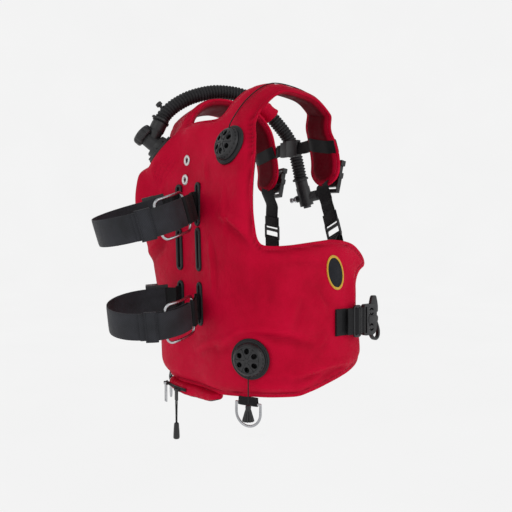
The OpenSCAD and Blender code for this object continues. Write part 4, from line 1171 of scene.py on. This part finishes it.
# ------------------------------------------------------------------ dump valves
def valve(tag, s, t):
    m = on_wall(s, t)
    cap = lathe(tag + "_cap", [(0, 18.2), (3.6, 18.4), (4.4, 17.6), (10, 17.3), (15, 16.4), (19.5, 15.2), (22.6, 14.3), (23.6, 15.2), (25.2, 15.0),
                               (27.4, 13.2), (29.4, 10.6), (30.6, 8.2), (31.0, 6.3), (28.6, 6.3), (27.8, 8.4), (25.2, 11.0), (19, 12.8),
                               (9.6, 14.6), (0, 15.2)], M_BLACK, m, n=120, sharp=30)
    cutters = []
    for k in range(6):
        a = math.radians(60 * k + 30)
        drop_ = []
        for q in np.linspace(0, 2 * math.pi, 22)[:-1]:
            rr = 4.7 * (1 - 0.30 * math.cos(q))
            x, y = 15.0 - rr * math.cos(q) * 1.15, rr * math.sin(q)
            drop_.append((x * math.cos(a) - y * math.sin(a), x * math.sin(a) + y * math.cos(a)))
        cutters.append(prism("hole", drop_, 5, 30, M_BLACK, m))
    for k in range(24):
        a = math.radians(15 * k + 7.5)
        e = np.array([math.cos(a), math.sin(a), 0])
        f = np.array([-math.sin(a), math.cos(a), 0])
        mm = pose(put(m, [e * 29.0 + np.array([0, 0, 10.4])])[0], m[:3, :3] @ unit(e * 0.8 + np.array([0, 0, 0.75])), m[:3, :3] @ f)
        cutters.append(prism("notch", rounded(4.6, 2.4, 0.9, 3), -0.9, 6, M_BLACK, mm))
    cut(cap, cutters)
    for c in (cap,):
        c.data.polygons.foreach_set("use_smooth", np.full(len(c.data.polygons), True))
        c.data.set_sharp_from_angle(angle=math.radians(32))
    ribs = [cap]
    for k in range(6):
        a = math.radians(60 * k)
        e = np.array([math.cos(a), math.sin(a)])
        c = np.array([[*(e * q), 17.9 - 0.0062 * q * q] for q in np.linspace(4, 22.4, 10)])
        ribs.append(tube("rib", put(m, c), np.linspace(1.0, 1.3, 10), M_BLACK, n=8))
    return join(tag + "_cap", ribs)


o = join("valve_grilles", [valve("lower_valve", *VALVES[0]), valve("shoulder_valve", *VALVES[1])])
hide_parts("valve_caps")
rubber = []
for s, t in VALVES:
    m = on_wall(s, t)
    rubber.append(lathe("flange", [(26.3, -2.6), (36.0, -2.6), (37.0, -1.4), (37.2, 0.6), (36.6, 2.4), (35.2, 3.4), (33.6, 3.0), (33.0, 3.6), (31.8, 3.9),
                                   (26.3, 3.9)], M_RUBBER, m, n=96, sharp=35))
o = join("valve_flanges", rubber)
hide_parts("valve_gaskets")

# ------------------------------------------------------------------ rubber trims of the band slots
def pill(l, w, n=12):
    r = w / 2
    return [(r * math.cos(a), l / 2 - r + r * math.sin(a)) for a in np.linspace(0, math.pi, n)] + \
           [(r * math.cos(a), -l / 2 + r + r * math.sin(a)) for a in np.linspace(math.pi, 2 * math.pi, n)]


parts = []
for z in SLOT_Z:
    for k in (-1, 1):
        m = on_wall(k * SLOT_X, z)
        tr = prism("trim", pill(84, 20.5), -1.0, 3.2, M_RUBBER, m)
        cut(tr, [prism("h", pill(73, 7.4), -9, 9, M_RUBBER, m)])
        bevelled(tr, 1.3, 3, 40)
        ln = prism("liner", pill(75.4, 9.6), -30.0, -0.6, M_RUBBER, m)
        cut(ln, [prism("h", pill(73.0, 7.2), -40, 9, M_RUBBER, m)])
        parts += [tr, ln]
o = join("slot_frames", parts)
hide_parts("slot_trims")

# ------------------------------------------------------------------ oval patch, raised edge
def oval(name, rings, mats, idxs):
    n = 72
    v, f, ix = [], [], []
    ca, sa = math.cos(math.radians(14)), math.sin(math.radians(14))
    for q, h in rings:
        for k in range(n):
            a = 2 * math.pi * k / n
            x, y = 20 * q * math.cos(a), 32 * q * math.sin(a)
            s, t = 348 + x * ca - y * sa, 244 + x * sa + y * ca
            v.append(Q(s, t, h))
    for i in range(len(rings) - 1):
        for k in range(n):
            f.append((i * n + k, i * n + (k + 1) % n, (i + 1) * n + (k + 1) % n, (i + 1) * n + k))
            ix.append(idxs[i])
    f.append(tuple(range((len(rings) - 1) * n, len(rings) * n)))
    ix.append(idxs[-1])
    f.append(tuple(range(n - 1, -1, -1)))
    ix.append(idxs[0])
    return outward(mesh_obj(name, np.array(v), f, mats, idx=ix, sharp=50))


o = oval("patch_oval", [(1.0, -1.0), (1.03, 0.8), (1.02, 1.9), (0.97, 2.7), (0.92, 2.6), (0.885, 1.9), (0.87, 1.5), (0.84, 1.7), (0.6, 1.9), (0.3, 2.0),
                        (0.05, 2.0)], [M_GOLD, M_PATCH], [0, 0, 0, 0, 0, 0, 1, 1, 1, 1, 1])
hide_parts("oval_patch")

# ------------------------------------------------------------------ hose sleeve, pouch and back pad
def sleeve(name, c, prof, mat, body="jacket", n=48):
    """A closed (distance, radius) outline carried round the curve c."""
    l = lengths(c)
    t, u, w = frames_along(c)
    v, a = [], np.arange(n) * 2 * math.pi / n
    for q, r in prof:
        cc, uu, ww = [np.array([np.interp(np.clip(q, 0, l[-1]), l, x[:, k]) for k in range(3)]) for x in (c, u, w)]
        tq = np.array([np.interp(np.clip(q, 0, l[-1]), l, t[:, k]) for k in range(3)])
        cc = cc + tq * (q - np.clip(q, 0, l[-1]))
        rr = r * (1 + 0.012 * np.sin(3 * a + q * 0.2) * (r > 17))
        v.append(cc + rr[:, None] * (np.cos(a)[:, None] * uu + np.sin(a)[:, None] * ww))
    m_ = len(prof)
    f = []
    for i in range(m_):
        for k in range(n):
            k2, i2 = (k + 1) % n, (i + 1) % m_
            f.append((i * n + k, i * n + k2, i2 * n + k2, i2 * n + k))
    uv = np.stack(np.broadcast_arrays((a * 18)[None, :], np.array([q for q, r in prof])[:, None]), -1).reshape(-1, 2)
    return outward(mesh_obj(name, np.vstack(v), f, mat, body, uv))


hs = HOSE[19 * 8:23 * 8 - 3]
LH = lengths(hs)[-1]
prof = [(0, 16.0), (-0.6, 17.4), (0.4, 19.6), (3, 20.1), (6, 19.2), (9, 18.4)] + [(q, 18.3 + 0.5 * math.sin(q * 0.55)) for q in np.linspace(12, LH - 12, 14)]
prof += [(LH - 9, 18.6), (LH - 6, 19.4), (LH - 3, 20.6), (LH - 0.4, 20.9), (LH + 0.8, 19.6), (LH, 16.4), (LH - 6, 16.0), (LH / 2, 15.9), (6, 15.9)]
flap = [sleeve("flap_sleeve", hs, prof, M_RED)]
mid = hs[len(hs) // 2 - 4]
nn_ = N(-87.0, 768.0)
hv = unit(hs[-1] - hs[0])
leg = smooth_path([mid - nn_ * 15.5, mid - nn_ * 20, mid - nn_ * 25, mid - nn_ * 31], 1.5)
flap.append(ribbon("flap_leg", leg, hv, 44.0, 3.2, M_RED, n=13))
o = join("flap_over_hose", flap)
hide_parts("hose_flap")

ps = np.linspace(-124, 67, 78)
plo = np.interp(ps, [-125, -85, -25, 40, 68], [2, -8, -10, -6, 2])
phi_ = np.interp(ps, [-130, -80, 80], [15, 11.4, 11.4])
n = 26
a = np.arange(n) * 2 * math.pi / n
endg = np.sqrt(np.clip(1 - (1 - np.clip(np.minimum(ps + 124.5, 67.5 - ps) / 22, 0, 1)) ** 2, 0.03, 1))
V = []
for s, lo, hi, g in zip(ps, plo, phi_, endg):
    tm, hh = (lo - 2 + hi) / 2, (hi - lo + 2) / 2
    cx, cy = np.cos(a), np.sin(a)
    tt_ = tm + hh * np.sign(cy) * np.abs(cy) ** 0.8
    ww = 15.5 * g * (1 + 0.05 * math.sin(s / 9.0) + 0.04 * math.sin(s / 4.1 + 1))
    hx = -18 + ww * np.sign(cx) * np.abs(cx) ** 0.75
    V.append(Q(np.full(n, s), tt_, hx))
V = np.array(V).reshape(-1, 3)
f, ix = [], []
for i in range(len(ps) - 1):
    for k in range(n):
        k2 = (k + 1) % n
        f.append((i * n + k, i * n + k2, (i + 1) * n + k2, (i + 1) * n + k))
        ix.append(1 if math.sin(a[k] + 0.1) < -0.62 else 0)
f += [tuple(range(n - 1, -1, -1)), tuple((len(ps) - 1) * n + k for k in range(n))]
ix += [0, 0]
uvp = np.stack(np.broadcast_arrays(ps[:, None], (a * 14)[None, :]), -1).reshape(-1, 2)
pouch = outward(mesh_obj("pouch_roll", V, f, [M_RED, M_WEB], uv=uvp, idx=ix))
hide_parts("lumbar_pouch")


def pad_block(name, w, l, c, y_in, y_out, mat, step=6.0):
    """Quilted mesh pad against the back: crowned on the wearer's side, sewn in three channels."""
    xs, zs = np.linspace(-w / 2, w / 2, int(w / step) + 1), np.linspace(-l / 2, l / 2, int(l / step) + 1)
    X, Z = np.meshgrid(xs, zs, indexing="ij")
    ex = 1 - np.abs(X / (w / 2)) ** 6
    ez = 1 - np.abs(Z / (l / 2)) ** 10
    rr = np.clip(ex, 0, 1) * np.clip(ez, 0, 1)
    cx = X * (1 - 0.03 * (Z / (l / 2)) ** 4)
    cz = Z * (1 - 0.03 * (X / (w / 2)) ** 4)
    chan = np.zeros_like(X)
    for q in (-w / 6, w / 6):
        chan += np.exp(-((X - q) / 4.0) ** 2)
    for q in (-l / 4, 0, l / 4):
        chan += 0.8 * np.exp(-((Z - q) / 4.0) ** 2)
    t = (y_out - y_in)
    yi = y_in + t * 0.42 * (1 - rr ** 0.5) + 4.0 * np.clip(chan, 0, 1) * rr ** 0.5
    yo = y_out - t * 0.42 * (1 - rr ** 0.5)
    a = np.stack([cx, yi, cz + c], -1).reshape(-1, 3)
    b = np.stack([cx, yo, cz + c], -1).reshape(-1, 3)
    nx, nz = X.shape
    off = nx * nz
    f = []
    g = lambda i, j: i * nz + j
    for i in range(nx - 1):
        for j in range(nz - 1):
            f.append((g(i, j), g(i + 1, j), g(i + 1, j + 1), g(i, j + 1)))
            f.append((off + g(i, j + 1), off + g(i + 1, j + 1), off + g(i + 1, j), off + g(i, j)))
    loop_ = [g(i, 0) for i in range(nx)] + [g(nx - 1, j) for j in range(1, nz)] + [g(i, nz - 1) for i in range(nx - 2, -1, -1)] + [g(0, j) for j in range(nz - 2, 0, -1)]
    for p, q in zip(loop_, loop_[1:] + loop_[:1]):
        f.append((q, p, off + p, off + q))
    uv = np.vstack([np.stack([X, Z], -1).reshape(-1, 2)] * 2)
    return outward(mesh_obj(name, np.vstack([a, b]), f, mat, uv=uv)), rr


pad, prr = pad_block("back_cushion", 208, 398, 268, 96.4, 110.2, M_PAD)
pw = np.clip(1 - prr.ravel(), 0, 1) ** 0.5
print("pad", puff(pad, np.concatenate([np.clip(pw, 0.15, 1), np.ones(len(pw))]), 2.0, 0.02, 10, 3.5))
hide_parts("back_pad")

# ------------------------------------------------------------------ sternum strap
parts = []
for k in (-1, 1):
    ss = np.linspace(k * 69.5, k * 148.5, 36)
    tdir = P(ss, 855.0) - P(ss, 839.0)
    for face, hh in ((1, 1.7), (-1, -STRAP_T - 1.7)):
        c = []
        for s in ss:
            n_ = N(s, 847.0)
            base = Q(s, 847.0, hh)
            hit = drop(base, n_ * face, 14.0)
            c.append(hit + n_ * face * 1.0)
        c = np.array(c)
        for _ in range(4):
            c[1:-1] = (c[:-2] + 2 * c[1:-1] + c[2:]) / 4
        parts.append(ribbon("sternum_pad", c, tdir, 26.0, 1.8, M_WEB, n=9))
for run in ([(-70.5, -87.5), (-60, -88.4), (-45, -89.6), (-30, -89), (-19.6, -89)], [(26, -89), (34, -89), (43, -90), (54, -97), (63, -103.5), (71, -107)]):
    c = smooth_path(run, 2.0)
    u = np.linspace(0, 1, len(c))
    c = np.column_stack([c, 498 - 1.5 * np.sin(u * math.pi)])
    tw = np.radians(9 * np.sin(u * math.pi * 2))
    parts.append(ribbon("sternum_free", c, np.column_stack([0 * u, np.sin(tw), np.cos(tw)]), 25.0, 1.8, M_WEB, n=9))
# the run behind the buckle's free half gives way when that half is pulled out
slack_run = parts.pop()
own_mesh(slack_run)
o = join("sternum_webbing", parts)
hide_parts("sternum_web")

# ------------------------------------------------------------------ lower shoulder webbing and its ladder buckles
parts, adj = [], []
for k, pa, pb in ((-1, (-108, -94, 396), (-150, -92, 284)), (1, (100, -117, 396), (122, -136, 282))):
    m = pose(pa, np.subtract(pb, pa), (k, 0.1, 0))
    L = float(np.linalg.norm(np.subtract(pb, pa)))
    sx = 109.0 if k < 0 else -101.0
    c = np.vstack([[Q(sx, 918.0, -9.0), Q(sx, 932.0, -9.2), Q(sx, 945.0, -9.0)], put(m, np.array([(0, 0, 12.0), (0, 0.4, 24), (0, -0.5, 38), (0, 0, 52), (0, 0, 63)]))])
    parts.append(ribbon("web_up", resample(catmull(c, 6), 2.0), m[:3, 0], 38.0, 2.2, M_WEB, n=11))
    z = np.linspace(86, L + 4, 40)
    tw = (np.radians(34 * np.sin(np.clip((z - 92) / (L - 92), 0, 1) * math.pi)) if k < 0 else 0 * z)
    c = put(m, np.column_stack([0 * z, 0.8 * np.sin(z / 13.0), z]))
    wd = np.cos(tw)[:, None] * m[:3, 0] + np.sin(tw)[:, None] * m[:3, 1]
    parts.append(ribbon("web_down", c, wd, 38.0 - 6 * np.sin(np.abs(tw)), 2.2, M_WEB, n=11))
    # fold of the upper web round the top bar, and of the lower one round the bottom bar
    for za, sg in ((60.5, 1), (92.5, -1)):
        a = np.linspace(-math.pi / 2, math.pi / 2, 12)
        c2 = [(0, 3.4, za - sg * 20), (0, 3.4, za - sg * 6)] + [(0, -3.4 * math.sin(q), za + sg * 3.2 * math.cos(q)) for q in a] + [(0, -3.4, za - sg * 6), (0, -3.4, za - sg * 20)]
        parts.append(ribbon("web_fold", put(m, smooth_path(c2, 1.2)), m[:3, 0], 37.6, 1.7, M_WEB, n=9))
    fr = prism("ladder", rounded(46, 38, 6), -2.3, 2.3, M_BLACK, m @ shift((0, 0, 77)) @ rot("X", 90))
    holes_ = [prism("w1", rounded(38.6, 17.0, 3), -9, 9, M_BLACK, m @ shift((0, 0, 83.0)) @ rot("X", 90)),
              prism("w2", rounded(38.6, 5.4, 2), -9, 9, M_BLACK, m @ shift((0, 0, 65.6)) @ rot("X", 90))]
    cut(fr, holes_)
    bevelled(fr, 0.9, 3, 40)
    adj.append(fr)
o = join("shoulder_webbing", parts)
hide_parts("shoulder_webs")
o = join("ladder_buckles", adj)
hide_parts("shoulder_adjusters")

# ------------------------------------------------------------------ waist: tabs, straps with slides, buckle halves
def waist_frame(k):
    return pose(Q(k * 372, 151.0, 6.5), N(k * 372, 151.0), k * (P(k * 372 + 4, 151.0) - P(k * 372 - 4, 151.0)))


parts = []
for k in (-1, 1):
    ss = np.linspace(k * 345, k * 371, 20)
    c = np.array([drop(Q(s, 151.0, 1.0), N(s, 151.0), 14.0) + N(s, 151.0) * 1.2 for s in ss])
    for _ in range(6):
        c[1:-1] = (c[:-2] + 2 * c[1:-1] + c[2:]) / 4
    tdir = P(ss, 155.0) - P(ss, 147.0)
    # its end lifts off the lobe to meet the strap
    s2 = k * np.array([373.5, 376.0, 378.5, 381.0])
    c1 = np.vstack([c, Q(s2, np.full(4, 151.0), np.array([2.4, 3.3, 4.0, 4.4]))])
    parts.append(ribbon("waist_tab", c1, np.vstack([tdir, P(s2, 155.0) - P(s2, 147.0)]), 50.0, 2.2, M_WEB, n=13))
    c2 = c[:11] + N(ss[:11], 151.0) * 2.2
    parts.append(ribbon("waist_tab_top", c2, tdir[:11], 48.0, 2.0, M_WEB, n=13))
o = join("waist_tabs_sewn", parts)
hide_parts("waist_tabs")


def slide(m, body):
    fr = prism("slide", rounded(22, 61, 7), 1.4, 5.6, M_BLACK, m @ shift((24, 0, 0)), body)
    cut(fr, [prism("w", rounded(6.2, 51, 2.4), -5, 12, M_BLACK, m @ shift((19.0, 0, 0)), body),
             prism("w", rounded(6.2, 51, 2.4), -5, 12, M_BLACK, m @ shift((29.0, 0, 0)), body)])
    return bevelled(fr, 1.0, 3, 40)


for k, body, node in ((1, "right_waist", "right_waist_strap"), (-1, "left_waist", "left_waist_strap")):
    m = waist_frame(k)
    side_ = [(44, 0, -0.4), (34, 0, -0.2), (22, 0, 0.2), (10, 0, -0.2), (2, 0, -0.6)]
    c = put(m, smooth_path(side_, 1.6))
    pieces_ = [ribbon("waist_web", c, m[:3, 1], 50.0, 2.2, M_WEB, body, n=13)]
    over_ = [(43.5, 0, 3.0), (38, 0, 3.6), (33, 0, 3.4), (29, 0, 5.2), (24, 0, 7.0), (19, 0, 5.2), (14, 0, 3.4), (6, 0, 2.4), (-2, 0, 2.2)]
    pieces_.append(ribbon("waist_web_tail", put(m, smooth_path(over_, 1.2)), m[:3, 1], 49.0, 2.0, M_WEB, body, n=13))
    pieces_.append(slide(m, body))
    o = join("waist_strap_" + ("r" if k > 0 else "l"), pieces_)
    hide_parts(node)

m = waist_frame(1)
plate = [(44.8, -25), (46.5, -28.5), (50, -30), (73, -30), (79, -27), (82.5, -21), (84, -12), (84.4, 0), (84, 12), (82.5, 21), (79, 27), (73, 30),
         (50, 30), (46.5, 28.5), (44.8, 25)]
male = prism("male_plate", plate, -4.4, 4.6, M_BLACK, m, "right_waist")
cc = [prism("slot", rounded(5, 51, 2), -12, 12, M_BLACK, m @ shift((50.5, 0, 0)), "right_waist")]
for k in (-1, 1):
    for q in (-1, 1):
        arcp = [(7.4 * math.cos(x), 7.4 * math.sin(x)) for x in np.linspace(-1.15, 1.15, 11)] + [(4.0 * math.cos(x), 4.0 * math.sin(x)) for x in np.linspace(1.05, -1.05, 11)]
        cc.append(prism("cee", [(q * x, y) for x, y in arcp], -12, 12, M_BLACK, m @ shift((67.0 - q * 0.2, k * 15, 0)) @ rot("Z", 90), "right_waist"))
cut(male, cc)
bevelled(male, 1.1, 3, 40)
pieces_ = [male]
# a raised panel between the cut-outs, and the two sprung arms
panel = prism("panel", rounded(20, 13, 4), 4.0, 5.8, M_BLACK, m @ shift((68.0, 0, 0)), "right_waist")
pieces_.append(bevelled(panel, 0.9, 3, 40))
arm = [(66, 24), (69, 36), (71.5, 43), (74, 45.4), (82.5, 45.4), (84.6, 43), (87.5, 34), (89.5, 24), (89.5, 14), (84, 10), (72, 20)]
pieces_.append(bevelled(prism("arm", arm, -3.5, 3.5, M_BLACK, m, "right_waist"), 1.2, 3, 40))
arm = [(68, -24), (71, -31), (77, -37.5), (84.5, -39.5), (91, -36), (93.2, -28), (91.5, -19), (87.5, -10), (84, -4)]
c = smooth_path(np.column_stack([np.array(arm, float), np.zeros(len(arm))]), 1.2)
pieces_.append(ribbon("arm", put(m, c), m[:3, 2], 8.4, 5.2, M_BLACK, "right_waist", n=9))
tong = prism("tongue", [(83, -7), (89, -6), (91, -3), (91, 3), (89, 6), (83, 7)], -2.6, 2.6, M_BLACK, m, "right_waist")
pieces_.append(bevelled(tong, 0.8, 2, 40))
for q in (-8, 0, 8):
    pieces_.append(tube("grip", put(m, np.array([(60.0 + abs(q) * 0.1, q + y, 4.7) for y in np.linspace(-2.6, 2.6, 6)])), 0.8, M_BLACK, "right_waist", n=8))
o = join("waist_plug", pieces_)
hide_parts("waist_male")

# ------------------------------------------------------------------ hip ring tabs
parts = []
for s in (152.0, -164.0):
    n_ = N(s, 22.0)
    m = pose(Q(s, 22.0, -18.0), (n_[0], n_[1], 0), P(s + 4, 22.0) - P(s - 4, 22.0))
    lp = [(0, -4, 1.6), (0, -9, 1.7)] + [(0, -16 + -3.7 * math.sin(q), 3.7 * math.cos(q)) for q in np.linspace(0.5, math.pi - 0.5, 9)] + [(0, -9, -1.7), (0, -4, -1.6)]
    parts.append(ribbon("hip_web", put(m, smooth_path(lp, 1.2)), m[:3, 0], 40.0, 1.7, M_WEB, n=11))
o = join("hip_webs", parts)
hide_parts("hip_tabs")

# ------------------------------------------------------------------ stitches along the jacket's edge
off = ring.copy()
tg = unit(np.roll(ring, -1, 0) - np.roll(ring, 1, 0))
nin = np.stack([-tg[:, 1], tg[:, 0]], 1)
if (inside(ring[:1] + nin[:1] * 4)[0]) == False:
    nin = -nin
pts_, dirs_, ups_ = [], [], []
ri = np.concatenate([[0], np.cumsum(np.linalg.norm(np.diff(ring, axis=0), axis=1))])
for q in np.arange(0, ri[-1], 4.6):
    i = int(np.searchsorted(ri, q)) % len(ring)
    wd_ = 6.2 - 1.2 * float(ease((ring[i][1] - 505) / 85))
    p2 = ring[i] + nin[i] * wd_
    p3 = ring[i] + nin[i] * wd_ + tg[i] * 2
    nn_ = N(p2[0], p2[1])
    TT2 = WALL + (STRAP_T - WALL) * float(ease((p2[1] - 505) / 85))
    for face in (1, -1):
        base = Q(p2[0], p2[1], -TT2 / 2 + face * 3)
        hit = shell_bvh.ray_cast(Vector((base + nn_ * face * 14) * 0.001), Vector(-nn_ * face), 0.03)
        if hit[0] is not None:
            pts_.append(np.array(hit[0]) * 1000 + nn_ * face * 0.15)
            dirs_.append(P(p3[0], p3[1]) - P(p2[0], p2[1]))
            ups_.append(nn_ * face)
stitches = stitch_mesh("hem_stitches", pts_, dirs_, ups_, M_THREAD, 3.1, 0.4)

# ------------------------------------------------------------------ the zip's cord puller
lo_, hi_ = [np.array(v) * 1000 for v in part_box("zip_cord_puller")]
zc = np.array([(lo_[0] + hi_[0]) / 2, (lo_[1] + hi_[1]) / 2, hi_[2] - 2.6])
zm = shift(zc)
parts = [bevelled(prism("puller_tab", rounded(10, 3, 0.6, 2), -20.5, -1.6, M_BLACK, zm, "zip_cord_puller"), 0.4, 2, 40),
         lathe("puller_eye", [(1.35, -5), (2.5, -5), (2.6, -4.8), (2.6, 4.8), (2.5, 5), (1.35, 5)], M_BLACK, zm @ rot("Y", 90), "zip_cord_puller", n=32)]
for k in (-1, 1):
    c = smooth_path([(k * 2.4, 0, -18), (k * 2.7, 0, -24), (k * 2.5, 0, -31), (k * 1.7, 0.2 * k, -40), (k * 1.25, 0.3 * k, -50), (k * 1.2, 0.2 * k, -62),
                     (k * 1.3, 0, -80)], 1.0)
    parts.append(tube("puller_cord", put(zm, c), 1.25 + 0.1 * np.sin(np.arange(len(c)) * 2.3), M_CORD, "zip_cord_puller", n=12))
zb = lo_[2] - zc[2]
grip = lathe("puller_grip", [(0, -66), (2.6, -66), (4.2, -66.8), (5.0, -68.4), (6.1, zb + 15), (6.6, zb + 4), (6.2, zb + 1.2), (5.0, zb + 0.2), (0, zb + 0.1)],
             M_BLACK, zm, "zip_cord_puller", n=64)
co = np.empty(len(grip.data.vertices) * 3)
grip.data.vertices.foreach_get("co", co)
co = co.reshape(-1, 3) * 1000 - zc
ang = np.arctan2(co[:, 1], co[:, 0])
co[:, :2] *= (1 - 0.07 * (0.5 + 0.5 * np.cos(8 * ang)))[:, None]
grip.data.vertices.foreach_set("co", ((co + zc) * 0.001).ravel())
grip.data.update()
parts.append(grip)
o = join("zip_cord_grip", parts)
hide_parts("zip_cord_puller")

# ------------------------------------------------------------------ zip teeth
v_, d_, u_ = [], [], []
for s in np.arange(-116, -36, 1.7):
    t = np.interp(s, [-130, -85, -30], [6.4, 3.0, 2.0])
    n_ = N(s, t)
    v_.append(Q(s, t, 1.0))
    d_.append(P(s, t + 2) - P(s, t - 2))
    u_.append(n_)
teeth = stitch_mesh("zip_teeth", v_, d_, u_, M_BLACK, 4.6, 0.62)

DONE2 = {"upper_band_strap", "lower_band_strap", "band_anchors", "band_keepers", "valve_caps", "valve_gaskets", "oval_patch", "hose_flap", "slot_trims",
         "lumbar_pouch", "back_pad", "sternum_web", "shoulder_webs", "shoulder_adjusters", "waist_tabs", "right_waist_strap",
         "left_waist_strap", "waist_male", "hip_tabs", "zip_cord_puller"}

# ------------------------------------------------------------------ elbow under the hose, and the eyelets
el_p, el_n = Q(-133.0, 499.0, 0.0), unit([0.4, 0.66, 0.64])
EM = pose(el_p, el_n, (-1, 0, 0))
parts = [lathe("elbow_base", [(16.6, -9), (33.6, -9), (34.6, -3), (34.8, 1.4), (33.8, 2.8), (31, 3.4), (26.4, 3.9), (25.4, 5), (25, 13.4),
                              (24, 15), (16.6, 15)], M_BLACK, EM, n=96, sharp=35)]
for k in range(6):
    a = math.radians(60 * k + 20)
    mm = EM @ np.array([[math.cos(a), -math.sin(a), 0, 29.4 * math.cos(a)], [math.sin(a), math.cos(a), 0, 29.4 * math.sin(a)], [0, 0, 1, 0], [0, 0, 0, 1.0]])
    parts.append(bevelled(prism("elbow_lug", rounded(6.4, 9.0, 1.4, 4), 1.5, 7.0, M_BLACK, mm), 0.8, 2, 40))
o = join("elbow_base", parts)
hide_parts("elbow_flange")
el_m = el_p + 27 * el_n
nk = np.array([el_m + (HOSE[0] - el_m) * u for u in np.linspace(0, 1, 30)])
nr = np.interp(np.linspace(0, 1, 30), [0, 0.5, 0.56, 0.62, 0.9, 1.0], [14.2, 14.6, 15.9, 16.2, 16.2, 15.6])
parts = [lathe("elbow_barrel", [(0, -26), (15.4, -26), (16, -25), (16, 43.6), (15.2, 45), (0, 45)], M_BLACK, EM, n=72, sharp=40),
         tube("elbow_neck", nk, nr, M_BLACK, n=48)]
o = join("elbow_barrel", parts)
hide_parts("elbow_body")
cap = lathe("elbow_knob", [(0, 60.0), (9, 59.8), (10, 58.9), (15, 58.6), (18.2, 57.6), (20.4, 56.4), (22.4, 54.6), (23.2, 52), (23.2, 43.5), (22.4, 40.6),
                           (20.6, 39.2), (17.2, 38.8), (16.3, 40), (16.3, 45.1), (0, 45.1)], M_BLACK, EM, n=144, sharp=40)
co = np.empty(len(cap.data.vertices) * 3)
cap.data.vertices.foreach_get("co", co)
co = put(np.linalg.inv(EM), co.reshape(-1, 3) * 1000)
ang = np.arctan2(co[:, 1], co[:, 0])
rr = np.hypot(co[:, 0], co[:, 1])
co[:, :2] *= (1 - 0.075 * (0.5 + 0.5 * np.cos(10 * ang)) ** 2 * ease((rr - 17.5) / 3.0))[:, None]
cap.data.vertices.foreach_set("co", (put(EM, co) * 0.001).ravel())
cap.data.update()
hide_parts("elbow_cap")
# the clamp's screw on the hose's cuff
lug_p, lug_n = HOSE[9 * 3], unit([0.38, 0.53, 0.75])
lug = lathe("clamp_screw", [(0, 10), (3.4, 10), (3.6, 12), (3.3, 19.5), (3.6, 20), (6.2, 20.4), (6.8, 21.4), (6.8, 26.4), (6.0, 27.6), (3.4, 28), (3.0, 27), (0, 27)],
            M_BLACK, pose(lug_p, lug_n, (-1, 0, 0)), n=48)
parts = []
for t in (461.0, 422.0):
    g0 = P(-20.0, t)
    gm = pose((20.0, g0[1], g0[2]), (0, 1, 0), (1, 0, 0))
    parts.append(lathe("eyelet_bore", [(4.3, -27.5), (5.6, -27.5), (5.7, -0.9), (4.3, -0.6)], M_BLACK, gm, n=48, sharp=60))
    parts.append(lathe("eyelet", [(4.4, -2.0), (5.9, -2.0), (5.9, -0.8), (9.2, -0.9), (10.8, -0.2), (11.0, 0.6), (10.2, 1.6), (8.4, 2.2), (6.2, 2.1), (5.1, 1.2),
                                  (4.6, -0.4)], M_PALE, gm, n=56, sharp=60))
o = join("eyelets", parts)
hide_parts("grommets")
DONE2 |= {"elbow_flange", "elbow_body", "elbow_cap", "grommets", "upper_band_ring", "lower_band_ring"}

# ------------------------------------------------------------------ the rest of the pieces, from the CAD shapes
MATS = {"black_plastic": M_BLACK, "grey_plastic": M_GREY, "dark_rubber": M_RUBBER, "steel": M_STEEL, "black_webbing": M_WEB,
        "charcoal_webbing": M_CHAR, "black_cord": M_CORD, "red_fabric": M_TRIM, "black_padding": M_PAD, "patch": M_PATCH}
SLOT_OF = {q["node"]: q["material_slot"] for q in frame["record"]["subparts"]}
DONE = {"inflator_hose", "lower_pull_cord", "shoulder_pull_cord", "lower_pull_knob", "shoulder_pull_knob", "jacket_back", "right_lobe",
        "left_lobe", "right_shoulder_strap", "left_shoulder_strap"}
for n in NODES:
    if n not in DONE and n not in DONE2:
        o = refine(n, MATS[SLOT_OF[n]])
        if n in ("lower_spring", "shoulder_spring"):
            # a valve spring shortens towards its seat as the poppet lifts
            jn = n.replace("spring", "poppet_lift")
            ax = unit([j["axis"] for j in frame["record"]["behaviour"]["joints"] if j["name"] == jn][0])
            co = np.empty(len(o.data.vertices) * 3)
            o.data.vertices.foreach_get("co", co)
            q = co.reshape(-1, 3) @ ax
            mid = co.reshape(-1, 3).mean(0)
            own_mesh(o)
